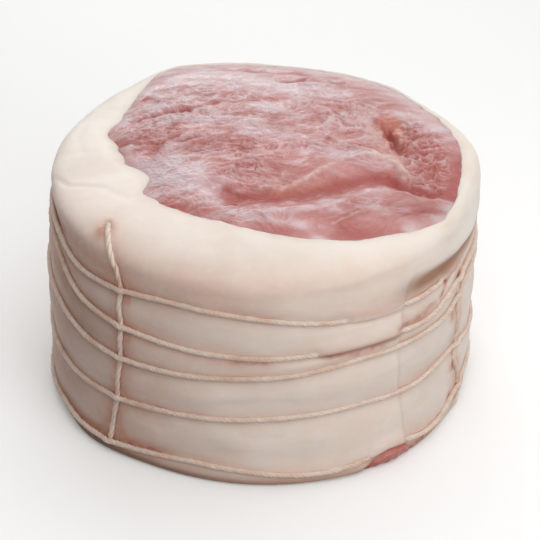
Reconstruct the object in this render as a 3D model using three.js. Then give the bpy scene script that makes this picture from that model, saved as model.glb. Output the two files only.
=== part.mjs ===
// A veal medallion: a short thick round of raw veal, wrapped in a thick sheet of white fat
// and tied with five rings of twine that cross three upright lengths of the same twine.
// Millimetres, +Z up. The origin is at the centre of the underside. The front is at -Y.

import * as THREE from 'three';

// Driving dimensions
const SIDE_RADIUS = 44.75; // mean radius of the wrapped round
const OVAL = 0.7; // how much further out the front and back stand than that, and the sides less
const FAT_THICKNESS = 7.5; // of the sheet of fat at its foot
const MEAT_CROWN = 52.3; // height of the middle of the cut face
const TWINE = 1.0; // diameter of a ring of twine
const UPRIGHT_TWINE = 1.2; // the uprights are a slightly thicker, slacker strand
const GAP = 0.3; // clear space between touching pieces
const EDGE_ROUND = 1.6; // rounding of the fat's lower edge
const MID_HEIGHT = 24; // the level at which the columns of the fat are laid out

// Resolution
const COLUMN_STEP = 6.5; // degrees, at most, between two columns of the fat
const RING_COLUMNS = 52;
const TWINE_SIDES = 6;

// Hand-chosen courses. Each is a list of [azimuth, value] pairs round the piece, where
// azimuth 0 is the right, 90 the back, 180 the left and -90 the front.
const RINGS = [
  // the lowest ring, close above the lower edge
  [[-180, 2.3], [-150, 2.0], [-131, 2.3], [-105, 4.3], [-78, 2.7], [-59, 4.4], [-41, 2.7],
    [-26, 4.9], [0, 4.6], [40, 3.4], [90, 3.0], [140, 2.6]],
  [[-180, 13.4], [-158, 13.6], [-145, 12.9], [-118, 14.6], [-95, 15.5], [-65, 16.2], [-46, 15.5],
    [-30, 16.6], [-13, 14.6], [20, 13.2], [60, 14.0], [100, 15.0], [145, 13.8]],
  [[-180, 26.8], [-155, 26.4], [-138, 23.7], [-107, 24.5], [-85, 25.5], [-66, 26.9], [-46, 26.5],
    [-34, 27.0], [-24, 29.9], [-12, 31.2], [10, 30.4], [50, 26.5], [100, 24.6], [145, 25.4]],
  [[-180, 38.2], [-159, 37.0], [-150, 33.9], [-140, 31.9], [-123, 31.0], [-95, 29.9], [-56, 30.0],
    [-42, 29.6], [-30, 32.3], [-18, 34.3], [10, 33.6], [50, 31.6], [100, 31.0], [145, 34.0]],
  // the highest ring, which dips below a fold of fat at the right
  [[-180, 41.4], [-158, 40.7], [-147, 38.4], [-135, 38.5], [-112, 40.0], [-92, 38.8], [-73, 36.6],
    [-50, 35.6], [-35, 35.8], [-15, 37.6], [20, 38.0], [60, 38.6], [100, 39.4], [145, 40.5]],
];

// Where the fat ends and the cut face of the meat begins: radius and height of that line.
const MEAT_EDGE_RADIUS = [[-180, 28.2], [-165, 24.6], [-150, 27.2], [-135, 28.2], [-105, 29.9],
  [-90, 32.8], [-75, 36.5], [-60, 39.4], [-45, 41.0], [-30, 42.0], [-15, 41.4], [0, 40.8],
  [30, 39.8], [90, 39.5], [120, 41.4], [135, 37.4], [150, 33.6], [165, 33.2]];
const MEAT_EDGE_HEIGHT = [[-180, 48.6], [-150, 48.8], [-120, 49.6], [-90, 50.2], [-75, 49.9],
  [-60, 49.1], [-45, 48.3], [-30, 48.5], [-15, 50.2], [0, 51.0], [30, 49.8], [60, 49.5],
  [90, 49.8], [120, 50.3], [150, 49.4]];

// The shoulder of the fat: where the side starts to round over, and how square it is.
const SHOULDER_HEIGHT = [[-180, 45.2], [-130, 44.0], [-90, 43.6], [-50, 44.2], [-25, 44.8],
  [0, 46.0], [25, 44.2], [60, 43.6], [90, 43.8], [140, 45.4]];
const SHOULDER_SQUARENESS = [[-180, 3.4], [-130, 2.6], [-90, 2.0], [-45, 2.2], [0, 2.2],
  [35, 1.7], [90, 1.8], [120, 2.4], [140, 3.0]];
// The side leans in by this much between two levels.
const SIDE_TAPER = [[-180, 2.0], [-130, 0.9], [-90, 0], [-30, 0.1], [0, 0], [30, 1.4],
  [75, 2.0], [120, 1.2]];
const TAPER_FROM = 24;
const TAPER_TO = 46;

// The soft round spreads where it stands, by this much at its foot.
const FOOT_SPREAD = [[-180, 0.3], [-150, 1.2], [-138, 1.8], [-118, 0.6], [-90, 1.2], [-58, 1.7],
  [-40, 0.9], [-20, 0.1], [0, 0], [60, 0.6], [90, 1.2], [130, 0.8]];
const SPREAD_HEIGHT = 6;

// The fat swells between two rings by a share of the space between them, up to a limit.
const SWELL_SHARE = 0.06;
const SWELL_MOST = 0.65;
const SWELL_ABOVE = 0.45; // above the highest ring
const SWELL_RUN = 3; // height over which it reaches that

// A deep fold in the side above the highest ring, at the right.
const FOLD_HEIGHT = [[-180, 43.6], [-130, 41.4], [-100, 42.4], [-60, 40.4], [-51, 40.1],
  [-39, 39.0], [-27, 39.2], [-12, 41.2], [0, 42.2], [30, 41.8], [90, 42.0], [145, 43.2]];
const FOLD_DEPTH = [[-180, 0], [-57, 0], [-50, 0.8], [-38, 1.9], [-22, 2.0], [-6, 0.8], [18, 0],
  [90, 0]];
const FOLD_LIP = 0.5; // how far the fat above the fold hangs over, as a share of its depth
const FOLD_LIP_RISE = 1.5;

// The end of the sheet of fat overlaps its start along this seam: [height, azimuth].
const SEAM = [[0, -52], [11, -53], [20, -54], [30, -54], [38, -52], [43, -49.5]];
const SEAM_STEP = 0.6;
const SEAM_WIDTH = 1.8; // degrees
const SEAM_RUN = 45; // degrees over which the overlap thins out
const SEAM_END = 45; // height at which it has melted into the shoulder
const SEAM_FADE = 5;

// The upright strands: [height, azimuth] up the side, and how far each climbs the shoulder,
// as a share of the way from the side to the meat.
const UPRIGHTS = [
  { name: 'twine_upright_left', climb: 0.66, course: [[0, -132], [6, -130.4], [16, -128.3],
    [24, -127.3], [31, -127], [36, -127.6], [39.5, -126], [43.7, -127.2], [45.6, -129.1],
    [47.3, -132.4], [48, -135.4], [48.5, -139.5]] },
  { name: 'twine_upright_right', climb: 0, course: [[0, -26.6], [5, -24], [9, -25.5], [13, -28],
    [17, -26.6], [24, -27.4], [36, -27.8]] },
  { name: 'twine_upright_back', climb: 0.34, course: [[0, 102], [14, 100], [26, 101.5], [38, 99],
    [50, 101]] },
];
const RIGHT_UPRIGHT_TOP = 35.6; // its upper end goes under the fold
const UPRIGHT_FOOT = 0.7; // height of the lower ends
const UPRIGHT_SUNK = 0.2; // depth of a strand's centre line below the fat's surface
const DIP_FLAT = 0.9; // it lies deepest this far to each side of a ring
const DIP_END = 3.4; // and is back at its own depth this far away
const END_BACK = 0.25; // share of its last stretch by which a climbing end stops short

// A gap under the lower edge where the seam ends, with meat showing in it.
const LIFT = 2.2;
const LIFT_AZIMUTH = -58;
const LIFT_WIDTH = 9; // degrees to each side
const LIFT_RUN = 4; // degrees over which each side of the gap closes

// Creases and swellings of the cut face: a route in X and Y, a half-width and a height.
const LONG_HOLLOW = [[4, -20.5], [14, -17.5], [24, -15.5], [31, -20]];
const RIDGE_BEFORE = [[4, -26], [13, -22.5], [22, -19.5], [33, -23]];
const RIGHT_SPLIT = [[24, 15], [26, 6], [28, -2]];
const CROSS_SEAM = [[0, 8], [9, 7], [16, 0], [24, -5], [29, -12]];
const LEFT_CREASE = [[-32, 3], [-27, 9], [-22, 13], [-14, 11]];
const LEFT_SWELL = [[-18, -6], [-8, -2], [2, -2]];
const BACK_SWELL = [[-6, 24], [10, 26]];
const FACE_RELIEF = [
  { route: LONG_HOLLOW, width: 2.4, rise: -0.9 },
  { route: RIDGE_BEFORE, width: 1.8, rise: 0.5 },
  { route: RIGHT_SPLIT, width: 2.6, rise: -1.0 },
  { route: CROSS_SEAM, width: 1.6, rise: -0.45 },
  { route: LEFT_CREASE, width: 2.2, rise: -0.5 },
  { route: LEFT_SWELL, width: 7, rise: 0.5 },
  { route: BACK_SWELL, width: 9, rise: 0.4 },
];

// Colours
const FAT_COLOUR = 0xe3d6c8;
const MEAT_COLOUR = 0xc08a86;
const TWINE_COLOUR = 0xd9c2b0;

const radians = THREE.MathUtils.degToRad;
const smooth = THREE.MathUtils.smoothstep;
const mix = THREE.MathUtils.lerp;

// A smooth curve through [place, value] pairs, held level past its ends or closed round a period.
function follow(pairs, place, period = 0) {
  let list = pairs;
  let at = place;
  if (period) {
    const first = pairs[0][0];
    const last = pairs.length - 1;
    at = first + ((((place - first) % period) + period) % period);
    list = [[pairs[last][0] - period, pairs[last][1]], ...pairs,
      [first + period, pairs[0][1]], [pairs[1][0] + period, pairs[1][1]]];
  }
  if (at <= list[0][0]) return list[0][1];
  if (at >= list[list.length - 1][0]) return list[list.length - 1][1];
  let k = 0;
  while (list[k + 1][0] <= at) k += 1;
  const before = list[Math.max(k - 1, 0)];
  const after = list[Math.min(k + 2, list.length - 1)];
  const [x0, y0] = list[k];
  const [x1, y1] = list[k + 1];
  const span = x1 - x0;
  const slope0 = (y1 - before[1]) / (x1 - before[0]);
  const slope1 = (after[1] - y0) / (after[0] - x0);
  const t = (at - x0) / span;
  const t2 = t * t;
  const t3 = t2 * t;
  return y0 * (2 * t3 - 3 * t2 + 1) + y1 * (3 * t2 - 2 * t3)
    + span * (slope0 * (t3 - 2 * t2 + t) + slope1 * (t3 - t2));
}

const round = (pairs, azimuth) => follow(pairs, azimuth, 360);
const ringHeight = (ring, azimuth) => round(RINGS[ring], azimuth);
const seamAzimuth = (z) => follow(SEAM, z);

// Turn from one azimuth to another, between -180 and 180 degrees.
function turn(from, to) {
  return ((((to - from + 180) % 360) + 360) % 360) - 180;
}

// Radius of the side of the wrapped round where no twine presses in.
function sideRadius(azimuth, z) {
  const oval = OVAL * Math.cos(radians(2 * (azimuth + 90)));
  const spread = round(FOOT_SPREAD, azimuth) * Math.exp(-((z / SPREAD_HEIGHT) ** 2));
  const taper = round(SIDE_TAPER, azimuth) * smooth(z, TAPER_FROM, TAPER_TO);
  return SIDE_RADIUS + oval + spread - taper;
}

// The fat swells between the rings, more where they are further apart.
function swelling(azimuth, z) {
  const heights = RINGS.map((ring, k) => ringHeight(k, azimuth));
  let below = 0;
  while (below < heights.length - 1 && heights[below + 1] < z) below += 1;
  if (z <= heights[0]) return 0;
  if (below === heights.length - 1) {
    return SWELL_ABOVE * smooth(z, heights[below], heights[below] + SWELL_RUN);
  }
  const span = heights[below + 1] - heights[below];
  const share = Math.sin(Math.PI * (z - heights[below]) / span) ** 2;
  return Math.min(SWELL_SHARE * span, SWELL_MOST) * share;
}

// The overlap stands proud to the left of the seam, and thins out away from it.
function overlap(azimuth, z) {
  const past = -turn(seamAzimuth(z), azimuth);
  const step = smooth(past, -SEAM_WIDTH / 2, SEAM_WIDTH / 2);
  const thinning = 1 - smooth(past, 0, SEAM_RUN);
  return SEAM_STEP * step * thinning * (1 - smooth(z, SEAM_END - SEAM_FADE, SEAM_END));
}

const surfaceRadius = (azimuth, z) => (
  sideRadius(azimuth, z) + swelling(azimuth, z) + overlap(azimuth, z)
);

const liftAt = (azimuth) => (
  LIFT * (1 - smooth(Math.abs(turn(LIFT_AZIMUTH, azimuth)), LIFT_WIDTH - LIFT_RUN, LIFT_WIDTH))
);

// A point of the rounded shoulder, from 0 at the side to 1 at the edge of the meat.
function shoulderPoint(azimuth, share) {
  const squareness = 2 / round(SHOULDER_SQUARENESS, azimuth);
  const start = round(SHOULDER_HEIGHT, azimuth);
  const outer = surfaceRadius(azimuth, start);
  const inner = round(MEAT_EDGE_RADIUS, azimuth);
  const top = round(MEAT_EDGE_HEIGHT, azimuth);
  const angle = share * Math.PI / 2;
  return {
    r: inner + (outer - inner) * Math.max(Math.cos(angle), 0) ** squareness,
    z: start + (top - start) * Math.sin(angle) ** squareness,
  };
}

// The hidden wall between fat and meat, from the edge of the cut face to the foot. The fat
// thins towards its edge on the face over the first stretch.
const WALL_BENDS = [{ drop: 4, share: 0.3 }, { drop: 14, share: 1 }];

function innerWall(azimuth) {
  const edge = round(MEAT_EDGE_RADIUS, azimuth);
  const top = round(MEAT_EDGE_HEIGHT, azimuth);
  const lift = liftAt(azimuth);
  const foot = sideRadius(azimuth, MID_HEIGHT) - FAT_THICKNESS;
  const bends = WALL_BENDS.map(({ drop, share }) => ({ r: mix(edge, foot, share), z: top - drop }));
  return [{ r: edge, z: top }, ...bends, { r: foot, z: lift }];
}

// How deep an upright strand lies: it dips to pass behind each ring.
function uprightRadius(azimuth, z) {
  let dip = 0;
  RINGS.forEach((ring, k) => {
    const away = Math.abs(z - ringHeight(k, azimuth));
    dip = Math.max(dip, 1 - smooth(away, DIP_FLAT, DIP_END));
  });
  const free = surfaceRadius(azimuth, z) - UPRIGHT_SUNK;
  const behind = sideRadius(azimuth, z) - TWINE / 2 - GAP - UPRIGHT_TWINE / 2;
  return mix(free, behind, dip);
}

// Columns of the fat: a fan of azimuths, with close ones beside each upright and at the seam.
const TRENCH = [-2.7, -1.5, 1.5, 2.7]; // degrees, the edges and floor of an upright's groove
const courseStart = (upright) => follow(upright.course, MID_HEIGHT);

function columnAzimuths() {
  const fixed = [];
  UPRIGHTS.forEach((upright) => {
    TRENCH.forEach((offset) => fixed.push(courseStart(upright) + offset));
  });
  const seam = seamAzimuth(MID_HEIGHT);
  fixed.push(seam - SEAM_WIDTH / 2, seam + SEAM_WIDTH / 2);
  [-LIFT_WIDTH, 1 - LIFT_WIDTH, LIFT_RUN - LIFT_WIDTH, LIFT_WIDTH - 1, LIFT_WIDTH].forEach(
    (offset) => fixed.push(LIFT_AZIMUTH + offset),
  );
  fixed.sort((a, b) => a - b);
  const all = [];
  fixed.forEach((azimuth, k) => {
    const next = k + 1 < fixed.length ? fixed[k + 1] : fixed[0] + 360;
    const parts = Math.ceil((next - azimuth) / COLUMN_STEP);
    for (let j = 0; j < parts; j += 1) all.push(azimuth + (next - azimuth) * (j / parts));
  });
  return all;
}

// Columns near an upright or the seam sway with it as it climbs.
const SWAY_WHOLE = 3.5; // degrees to each side that move with it whole
const SWAY_REACH = 34; // degrees to each side that move with it at all

function sway(base, z) {
  const lead = (centre, now) => {
    const weight = 1 - smooth(Math.abs(turn(centre, base)), SWAY_WHOLE, SWAY_REACH);
    return weight * turn(centre, now);
  };
  let shift = lead(seamAzimuth(MID_HEIGHT), seamAzimuth(z));
  UPRIGHTS.forEach((upright) => {
    shift += lead(courseStart(upright), follow(upright.course, z));
  });
  return base + shift;
}

// The upright whose trench a column lies in, if it does.
function trenchOf(base) {
  return UPRIGHTS.find((upright) => Math.abs(turn(courseStart(upright), base)) < TRENCH[3]);
}

// One column of the fat, from the inner foot outwards, up the side and over to the meat.
const SHOULDER_SHARES = [0, 0.17, 0.34, 0.5, 0.66, 0.82, 1];
const FLOOR_HALF = 0.8; // half the width of the floor of a ring's groove
const MOUTH_HALF = 1.4; // and of its mouth, where there is room
const MOUTH_APART = 0.15; // from the middle between two rings that run close together
const BETWEEN_RINGS = [2, 2, 1, 1]; // rows of points between each ring and the next
const EDGE_RISE = 0.9; // height of the rounding of the lower edge
const EDGE_MID = { back: 0.5, rise: 0.35 }; // a point half way round it
const TRENCH_BACK = 1.2; // how much further in a groove the lower edge begins
const OPEN_END = 1.6; // the groove of the right upright runs this far past its end

function fatColumn(base) {
  const upright = trenchOf(base);
  const trenchTop = upright && (upright.climb > 0 ? Infinity : RIGHT_UPRIGHT_TOP + OPEN_END);
  const points = [];
  const add = (azimuth, r, z) => points.push(new THREE.Vector3(
    r * Math.cos(radians(azimuth)), r * Math.sin(radians(azimuth)), z,
  ));
  // a point of the side, cut back where an upright strand lies in it
  const side = (z, r) => {
    const azimuth = sway(base, z);
    let out = r === undefined ? surfaceRadius(azimuth, z) : r;
    if (upright && z < trenchTop) {
      const centre = follow(upright.course, z);
      out = Math.min(out, uprightRadius(centre, z) - UPRIGHT_TWINE / 2 - GAP);
    }
    add(azimuth, out, z);
  };

  const wall = innerWall(base);
  const foot = wall[wall.length - 1];
  const lift = foot.z;
  const low = sideRadius(base, 0);
  add(base, foot.r, lift);
  const roundStart = upright ? EDGE_ROUND + TRENCH_BACK : EDGE_ROUND;
  add(base, low - roundStart, lift);
  side(lift + EDGE_MID.rise, low - (upright ? roundStart : EDGE_MID.back));
  side(lift + EDGE_RISE);

  const heights = RINGS.map((ring, k) => ringHeight(k, sway(base, ringHeight(k, base))));
  const mouth = heights.map((z, k) => {
    const below = k === 0 ? z - lift - EDGE_RISE : (z - heights[k - 1]) / 2;
    const above = k === heights.length - 1 ? Infinity : (heights[k + 1] - z) / 2;
    return [below, above].map((room) => Math.min(MOUTH_HALF, room - MOUTH_APART));
  });
  heights.forEach((z, k) => {
    const azimuth = sway(base, z);
    const floor = sideRadius(azimuth, z) - TWINE / 2 - GAP;
    side(z - mouth[k][0]);
    side(z - FLOOR_HALF, floor);
    side(z + FLOOR_HALF, floor);
    side(z + mouth[k][1]);
    const rows = BETWEEN_RINGS[k] || 0;
    for (let j = 1; j <= rows; j += 1) {
      const from = z + mouth[k][1];
      const to = heights[k + 1] - mouth[k + 1][0];
      side(mix(from, to, j / (rows + 1)));
    }
  });

  const fold = round(FOLD_HEIGHT, base);
  const depth = Math.max(round(FOLD_DEPTH, base), 0);
  side(fold, surfaceRadius(sway(base, fold), fold) - depth);
  const lip = fold + FOLD_LIP_RISE;
  side(lip, surfaceRadius(sway(base, lip), lip) + FOLD_LIP * Math.min(depth, 1));

  // the shoulder, with the trench of a strand that climbs it
  SHOULDER_SHARES.forEach((share) => {
    const here = shoulderPoint(base, share);
    const azimuth = sway(base, here.z);
    let { r, z } = shoulderPoint(azimuth, share);
    if (upright && share <= upright.climb) {
      const sink = UPRIGHT_SUNK + UPRIGHT_TWINE / 2 + GAP;
      const lean = share * Math.PI / 2;
      r -= sink * Math.cos(lean);
      z -= sink * Math.sin(lean);
    }
    add(azimuth, r, z);
  });
  for (let k = 1; k < wall.length - 1; k += 1) add(base, wall[k].r, wall[k].z);
  return points;
}

// A closed skin from columns of points. Each column closes on itself, or runs pole to pole.
function skin(columns, poles) {
  const rows = columns[0].length;
  const points = columns.flat();
  const index = [];
  const at = (column, row) => (column % columns.length) * rows + (row % rows);
  const quads = poles ? rows - 1 : rows;
  columns.forEach((column, c) => {
    for (let row = 0; row < quads; row += 1) {
      index.push(at(c, row), at(c + 1, row), at(c + 1, row + 1));
      index.push(at(c, row), at(c + 1, row + 1), at(c, row + 1));
    }
  });
  if (poles) {
    points.push(poles[0], poles[1]);
    const bottom = points.length - 2;
    const top = points.length - 1;
    columns.forEach((column, c) => {
      index.push(bottom, at(c + 1, 0), at(c, 0));
      index.push(top, at(c, rows - 1), at(c + 1, rows - 1));
    });
  }
  const geometry = new THREE.BufferGeometry().setFromPoints(points);
  geometry.setIndex(index);
  geometry.computeVertexNormals();
  return geometry;
}

// Distance from a point to a route of straight stretches.
function distanceTo(route, x, y) {
  const point = new THREE.Vector3(x, y, 0);
  const nearest = new THREE.Vector3();
  let best = Infinity;
  for (let k = 0; k + 1 < route.length; k += 1) {
    const stretch = new THREE.Line3(
      new THREE.Vector3(...route[k], 0),
      new THREE.Vector3(...route[k + 1], 0),
    );
    stretch.closestPointToPoint(point, true, nearest);
    best = Math.min(best, nearest.distanceTo(point));
  }
  return best;
}

// Height of the cut face: a low crown that is fullest towards the back, with its relief.
const FULLNESS = { mean: 0.75, more: 0.65, towards: 100 }; // towards that azimuth it has more

function faceHeight(azimuth, share) {
  const edgeHeight = round(MEAT_EDGE_HEIGHT, azimuth) - GAP;
  const edgeRadius = round(MEAT_EDGE_RADIUS, azimuth) - GAP;
  const x = share * edgeRadius * Math.cos(radians(azimuth));
  const y = share * edgeRadius * Math.sin(radians(azimuth));
  const fullness = FULLNESS.mean + FULLNESS.more * Math.cos(radians(azimuth - FULLNESS.towards));
  let z = mix(MEAT_CROWN, edgeHeight, share ** 2) + fullness * share ** 2 * (1 - share ** 10);
  FACE_RELIEF.forEach(({ route, width, rise }) => {
    z += rise * Math.exp(-((distanceTo(route, x, y) / width) ** 2)) * (1 - share ** 6);
  });
  return z;
}

// One column of the meat, from beside the middle of the underside to beside that of the face.
const FACE_SHARES = [0.97, 0.92, 0.84, 0.75, 0.66, 0.57, 0.47, 0.37, 0.26, 0.14];
const FOOT_STEP = 0.15; // height of the foot where the meat shows in no gap
const FOOT_BACK = 0.5; // how far behind the fat's surface the meat in the gap ends
const WALL_GAP = 2.2 * GAP; // the fat is looser from the meat where nothing shows

function meatColumn(azimuth) {
  const points = [];
  const add = (r, z) => points.push(new THREE.Vector3(
    r * Math.cos(radians(azimuth)), r * Math.sin(radians(azimuth)), z,
  ));
  const [edge, under, waist, foot] = innerWall(azimuth);
  const shin = foot.r - GAP;
  const opened = smooth(foot.z, 0.85 * LIFT, LIFT);
  const reach = mix(shin, sideRadius(azimuth, 0) - FOOT_BACK, opened);
  const footTop = Math.max(foot.z - GAP, FOOT_STEP);
  add(reach * 0.5, 0);
  add(reach, 0);
  add(reach, footTop * 0.8);
  add(shin, footTop);
  add(waist.r - WALL_GAP, waist.z);
  add(under.r - WALL_GAP, under.z);
  add(edge.r - GAP, edge.z - GAP);
  FACE_SHARES.forEach((share) => add(share * (edge.r - GAP), faceHeight(azimuth, share)));
  return points;
}

// A strand swept along a route of centres, each with its outward direction.
function strand(centres, outwards, radius, closed) {
  const count = centres.length;
  const columns = centres.map((centre, k) => {
    const ahead = closed ? centres[(k + 1) % count] : centres[Math.min(k + 1, count - 1)];
    const behind = closed ? centres[(k + count - 1) % count] : centres[Math.max(k - 1, 0)];
    const along = ahead.clone().sub(behind).normalize();
    const across = along.clone().cross(outwards[k]).normalize();
    const out = across.clone().cross(along).normalize();
    const section = [];
    for (let side = 0; side < TWINE_SIDES; side += 1) {
      const angle = side / TWINE_SIDES * 2 * Math.PI;
      section.push(centre.clone()
        .addScaledVector(out, radius * Math.sin(angle))
        .addScaledVector(across, radius * Math.cos(angle)));
    }
    return section;
  });
  if (closed) return skin(columns, null);
  // an open strand has flat ends, so its sections are rows and its ends are the poles
  const rows = columns[0].map((point, side) => columns.map((section) => section[side]));
  return skin(rows.reverse(), [centres[0], centres[count - 1]]);
}

const outwardAt = (azimuth, lean = 0) => new THREE.Vector3(
  Math.cos(radians(azimuth)) * Math.cos(lean),
  Math.sin(radians(azimuth)) * Math.cos(lean),
  Math.sin(lean),
);

function ringOfTwine(ring) {
  const centres = [];
  const outwards = [];
  for (let k = 0; k < RING_COLUMNS; k += 1) {
    const azimuth = -180 + 360 * k / RING_COLUMNS;
    const z = ringHeight(ring, azimuth);
    centres.push(outwardAt(azimuth).multiplyScalar(sideRadius(azimuth, z)).setZ(z));
    outwards.push(outwardAt(azimuth));
  }
  return strand(centres, outwards, TWINE / 2, true);
}

// Heights at which an upright strand has a section: round each ring, and between them.
const LEAST_STEP = 0.45;
const SHOULDER_CLEAR = 0.6; // the last of them is this far below the shoulder

function uprightHeights(upright, top) {
  const heights = [UPRIGHT_FOOT];
  RINGS.forEach((ring, k) => {
    const middle = ringHeight(k, follow(upright.course, ringHeight(k, courseStart(upright))));
    [-MOUTH_HALF, -FLOOR_HALF, FLOOR_HALF, MOUTH_HALF].forEach((offset) => {
      heights.push(middle + offset);
    });
    if (k + 1 < RINGS.length) {
      const next = ringHeight(k + 1, courseStart(upright));
      heights.push(mix(middle, next, 0.4), mix(middle, next, 0.6));
    }
  });
  const fold = round(FOLD_HEIGHT, courseStart(upright));
  heights.push(fold, fold + FOLD_LIP_RISE, top);
  const sorted = heights.filter((z) => z >= UPRIGHT_FOOT && z <= top).sort((a, b) => a - b);
  return sorted.filter((z, k) => k === 0 || z - sorted[k - 1] > LEAST_STEP);
}

function uprightTwine(upright) {
  const centres = [];
  const outwards = [];
  const radius = UPRIGHT_TWINE / 2;
  const climbs = upright.climb > 0;
  const shoulder = round(SHOULDER_HEIGHT, courseStart(upright));
  const top = climbs ? shoulder - SHOULDER_CLEAR : RIGHT_UPRIGHT_TOP;
  uprightHeights(upright, top).forEach((z) => {
    const azimuth = follow(upright.course, z);
    centres.push(outwardAt(azimuth).multiplyScalar(uprightRadius(azimuth, z)).setZ(z));
    outwards.push(outwardAt(azimuth));
  });
  if (climbs) {
    SHOULDER_SHARES.filter((share) => share > 0 && share <= upright.climb).forEach((share) => {
      const lean = share * Math.PI / 2;
      const onShoulder = shoulderPoint(courseStart(upright), share);
      const azimuth = follow(upright.course, onShoulder.z);
      const { r, z } = shoulderPoint(azimuth, share);
      centres.push(outwardAt(azimuth).multiplyScalar(r - UPRIGHT_SUNK * Math.cos(lean))
        .setZ(z - UPRIGHT_SUNK * Math.sin(lean)));
      outwards.push(outwardAt(azimuth, lean));
    });
    centres[centres.length - 1].lerp(centres[centres.length - 2], END_BACK);
  }
  return strand(centres, outwards, radius, false);
}

function meat() {
  const columns = columnAzimuths().map(meatColumn);
  const crown = faceHeight(0, 0);
  return skin(columns, [new THREE.Vector3(0, 0, 0), new THREE.Vector3(0, 0, crown)]);
}

const material = (color, roughness) => new THREE.MeshStandardMaterial({
  color, roughness, metalness: 0,
});

function piece(name, geometry, colour, roughness) {
  const mesh = new THREE.Mesh(geometry, material(colour, roughness));
  mesh.name = name;
  return mesh;
}

const group = new THREE.Group();
group.add(piece('veal', meat(), MEAT_COLOUR, 0.45));
group.add(piece('fat_wrap', skin(columnAzimuths().map(fatColumn), null), FAT_COLOUR, 0.55));
RINGS.forEach((ring, k) => {
  group.add(piece(`twine_ring_${RINGS.length - k}`, ringOfTwine(k), TWINE_COLOUR, 0.9));
});
UPRIGHTS.forEach((upright) => {
  group.add(piece(upright.name, uprightTwine(upright), TWINE_COLOUR, 0.9));
});

export default group;
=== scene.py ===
# A veal medallion: a short thick round of raw veal, wrapped in a sheet of white fat and tied
# with twine. Shapes are worked out in millimetres, +Z up, front at -Y, and each mesh is
# turned to metres when it is made.

import math

import bpy
import numpy as np
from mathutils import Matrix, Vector


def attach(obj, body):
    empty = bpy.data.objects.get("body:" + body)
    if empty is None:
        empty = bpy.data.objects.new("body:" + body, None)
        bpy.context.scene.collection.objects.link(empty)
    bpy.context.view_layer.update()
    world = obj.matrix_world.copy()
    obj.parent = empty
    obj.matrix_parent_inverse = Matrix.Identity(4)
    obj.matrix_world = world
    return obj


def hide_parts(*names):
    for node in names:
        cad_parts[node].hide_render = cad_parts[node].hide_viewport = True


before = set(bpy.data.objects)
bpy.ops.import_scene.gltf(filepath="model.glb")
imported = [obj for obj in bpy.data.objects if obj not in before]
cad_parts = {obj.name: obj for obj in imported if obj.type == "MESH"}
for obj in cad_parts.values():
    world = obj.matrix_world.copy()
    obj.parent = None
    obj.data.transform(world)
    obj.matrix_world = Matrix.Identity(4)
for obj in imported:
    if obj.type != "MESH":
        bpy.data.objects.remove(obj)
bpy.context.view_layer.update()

MM = 0.001

# Sizes, as in the solids.
SIDE_RADIUS = 44.75
OVAL = 0.7  # the radius is this much more at the front and back, and less at the sides
FAT_THICKNESS = 7.5
MEAT_CROWN = 52.3
MID_HEIGHT = 24

# Courses round the piece: [azimuth, value], azimuth 0 right, 90 back, 180 left, -90 front.
RINGS = [
    [(-180, 2.6), (-150, 2.7), (-131, 2.9), (-105, 4.3), (-78, 2.6), (-66, 3), (-57, 4.4),
     (-41, 2.7), (-26, 4.9), (0, 4.6), (40, 3.4), (90, 3), (140, 2.6)],
    [(-180, 13.4), (-158, 13.6), (-145, 12.9), (-118, 14.6), (-95, 15.5), (-65, 16.2), (-46, 15.5),
     (-30, 16.6), (-13, 14.6), (20, 13.2), (60, 14), (100, 15), (145, 13.8)],
    [(-180, 26.8), (-155, 26.4), (-138, 23.7), (-107, 24.5), (-85, 25.5), (-66, 26.9), (-46, 26.5),
     (-34, 27), (-24, 29.9), (-12, 31.2), (10, 30.4), (50, 26.5), (100, 24.6), (145, 25.4)],
    [(-180, 38.2), (-159, 37), (-150, 33.9), (-140, 31.9), (-123, 31), (-95, 29.9), (-56, 30),
     (-42, 29.6), (-30, 32.3), (-18, 34.3), (10, 33.6), (50, 31.6), (100, 31), (145, 34)],
    [(-180, 41.4), (-158, 40.7), (-147, 38.4), (-135, 38.5), (-112, 40), (-92, 38.8), (-73, 36.6),
     (-50, 35.6), (-35, 35.8), (-15, 37.6), (20, 38), (60, 38.6), (100, 39.4), (145, 40.5)],
]
MEAT_EDGE_RADIUS = [(-180, 28.4), (-174, 28), (-169, 26), (-164, 24.7), (-157, 24.5), (-152, 25.8),
                    (-147, 27.9), (-135, 28.2), (-105, 29.9), (-90, 32.8), (-75, 36.5),
                    (-60, 39.5), (-50, 40.4), (-42, 42.4), (-35, 43.4), (-29, 43.2), (-22, 42.1),
                    (-15, 41.5), (0, 40.8), (30, 39.8), (90, 39.5), (120, 41.4), (135, 37.4),
                    (150, 33.6), (164, 33.4), (171, 30.4)]
MEAT_EDGE_HEIGHT = [(-180, 48.6), (-150, 48.8), (-120, 49.6), (-90, 50.2), (-75, 49.9),
                    (-60, 49.1), (-45, 48.3), (-30, 48.5), (-15, 50.2), (0, 51), (30, 49.8),
                    (60, 49.5), (90, 49.8), (120, 50.3), (150, 49.4)]
SHOULDER_HEIGHT = [(-180, 45.2), (-130, 44), (-90, 43.6), (-50, 44.2), (-25, 44.8), (0, 46),
                   (25, 44.2), (60, 43.6), (90, 43.8), (140, 45.4)]
SHOULDER_SQUARENESS = [(-180, 3.4), (-130, 2.6), (-90, 2), (-45, 2.2), (0, 2.2), (35, 1.7),
                       (90, 1.8), (120, 2.4), (140, 3)]
SIDE_TAPER = [(-180, 2), (-130, 0.9), (-90, 0), (-30, 0.1), (0, 0), (30, 1.4), (75, 2), (120, 1.2)]
TAPER_FROM, TAPER_TO = 24, 46
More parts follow.
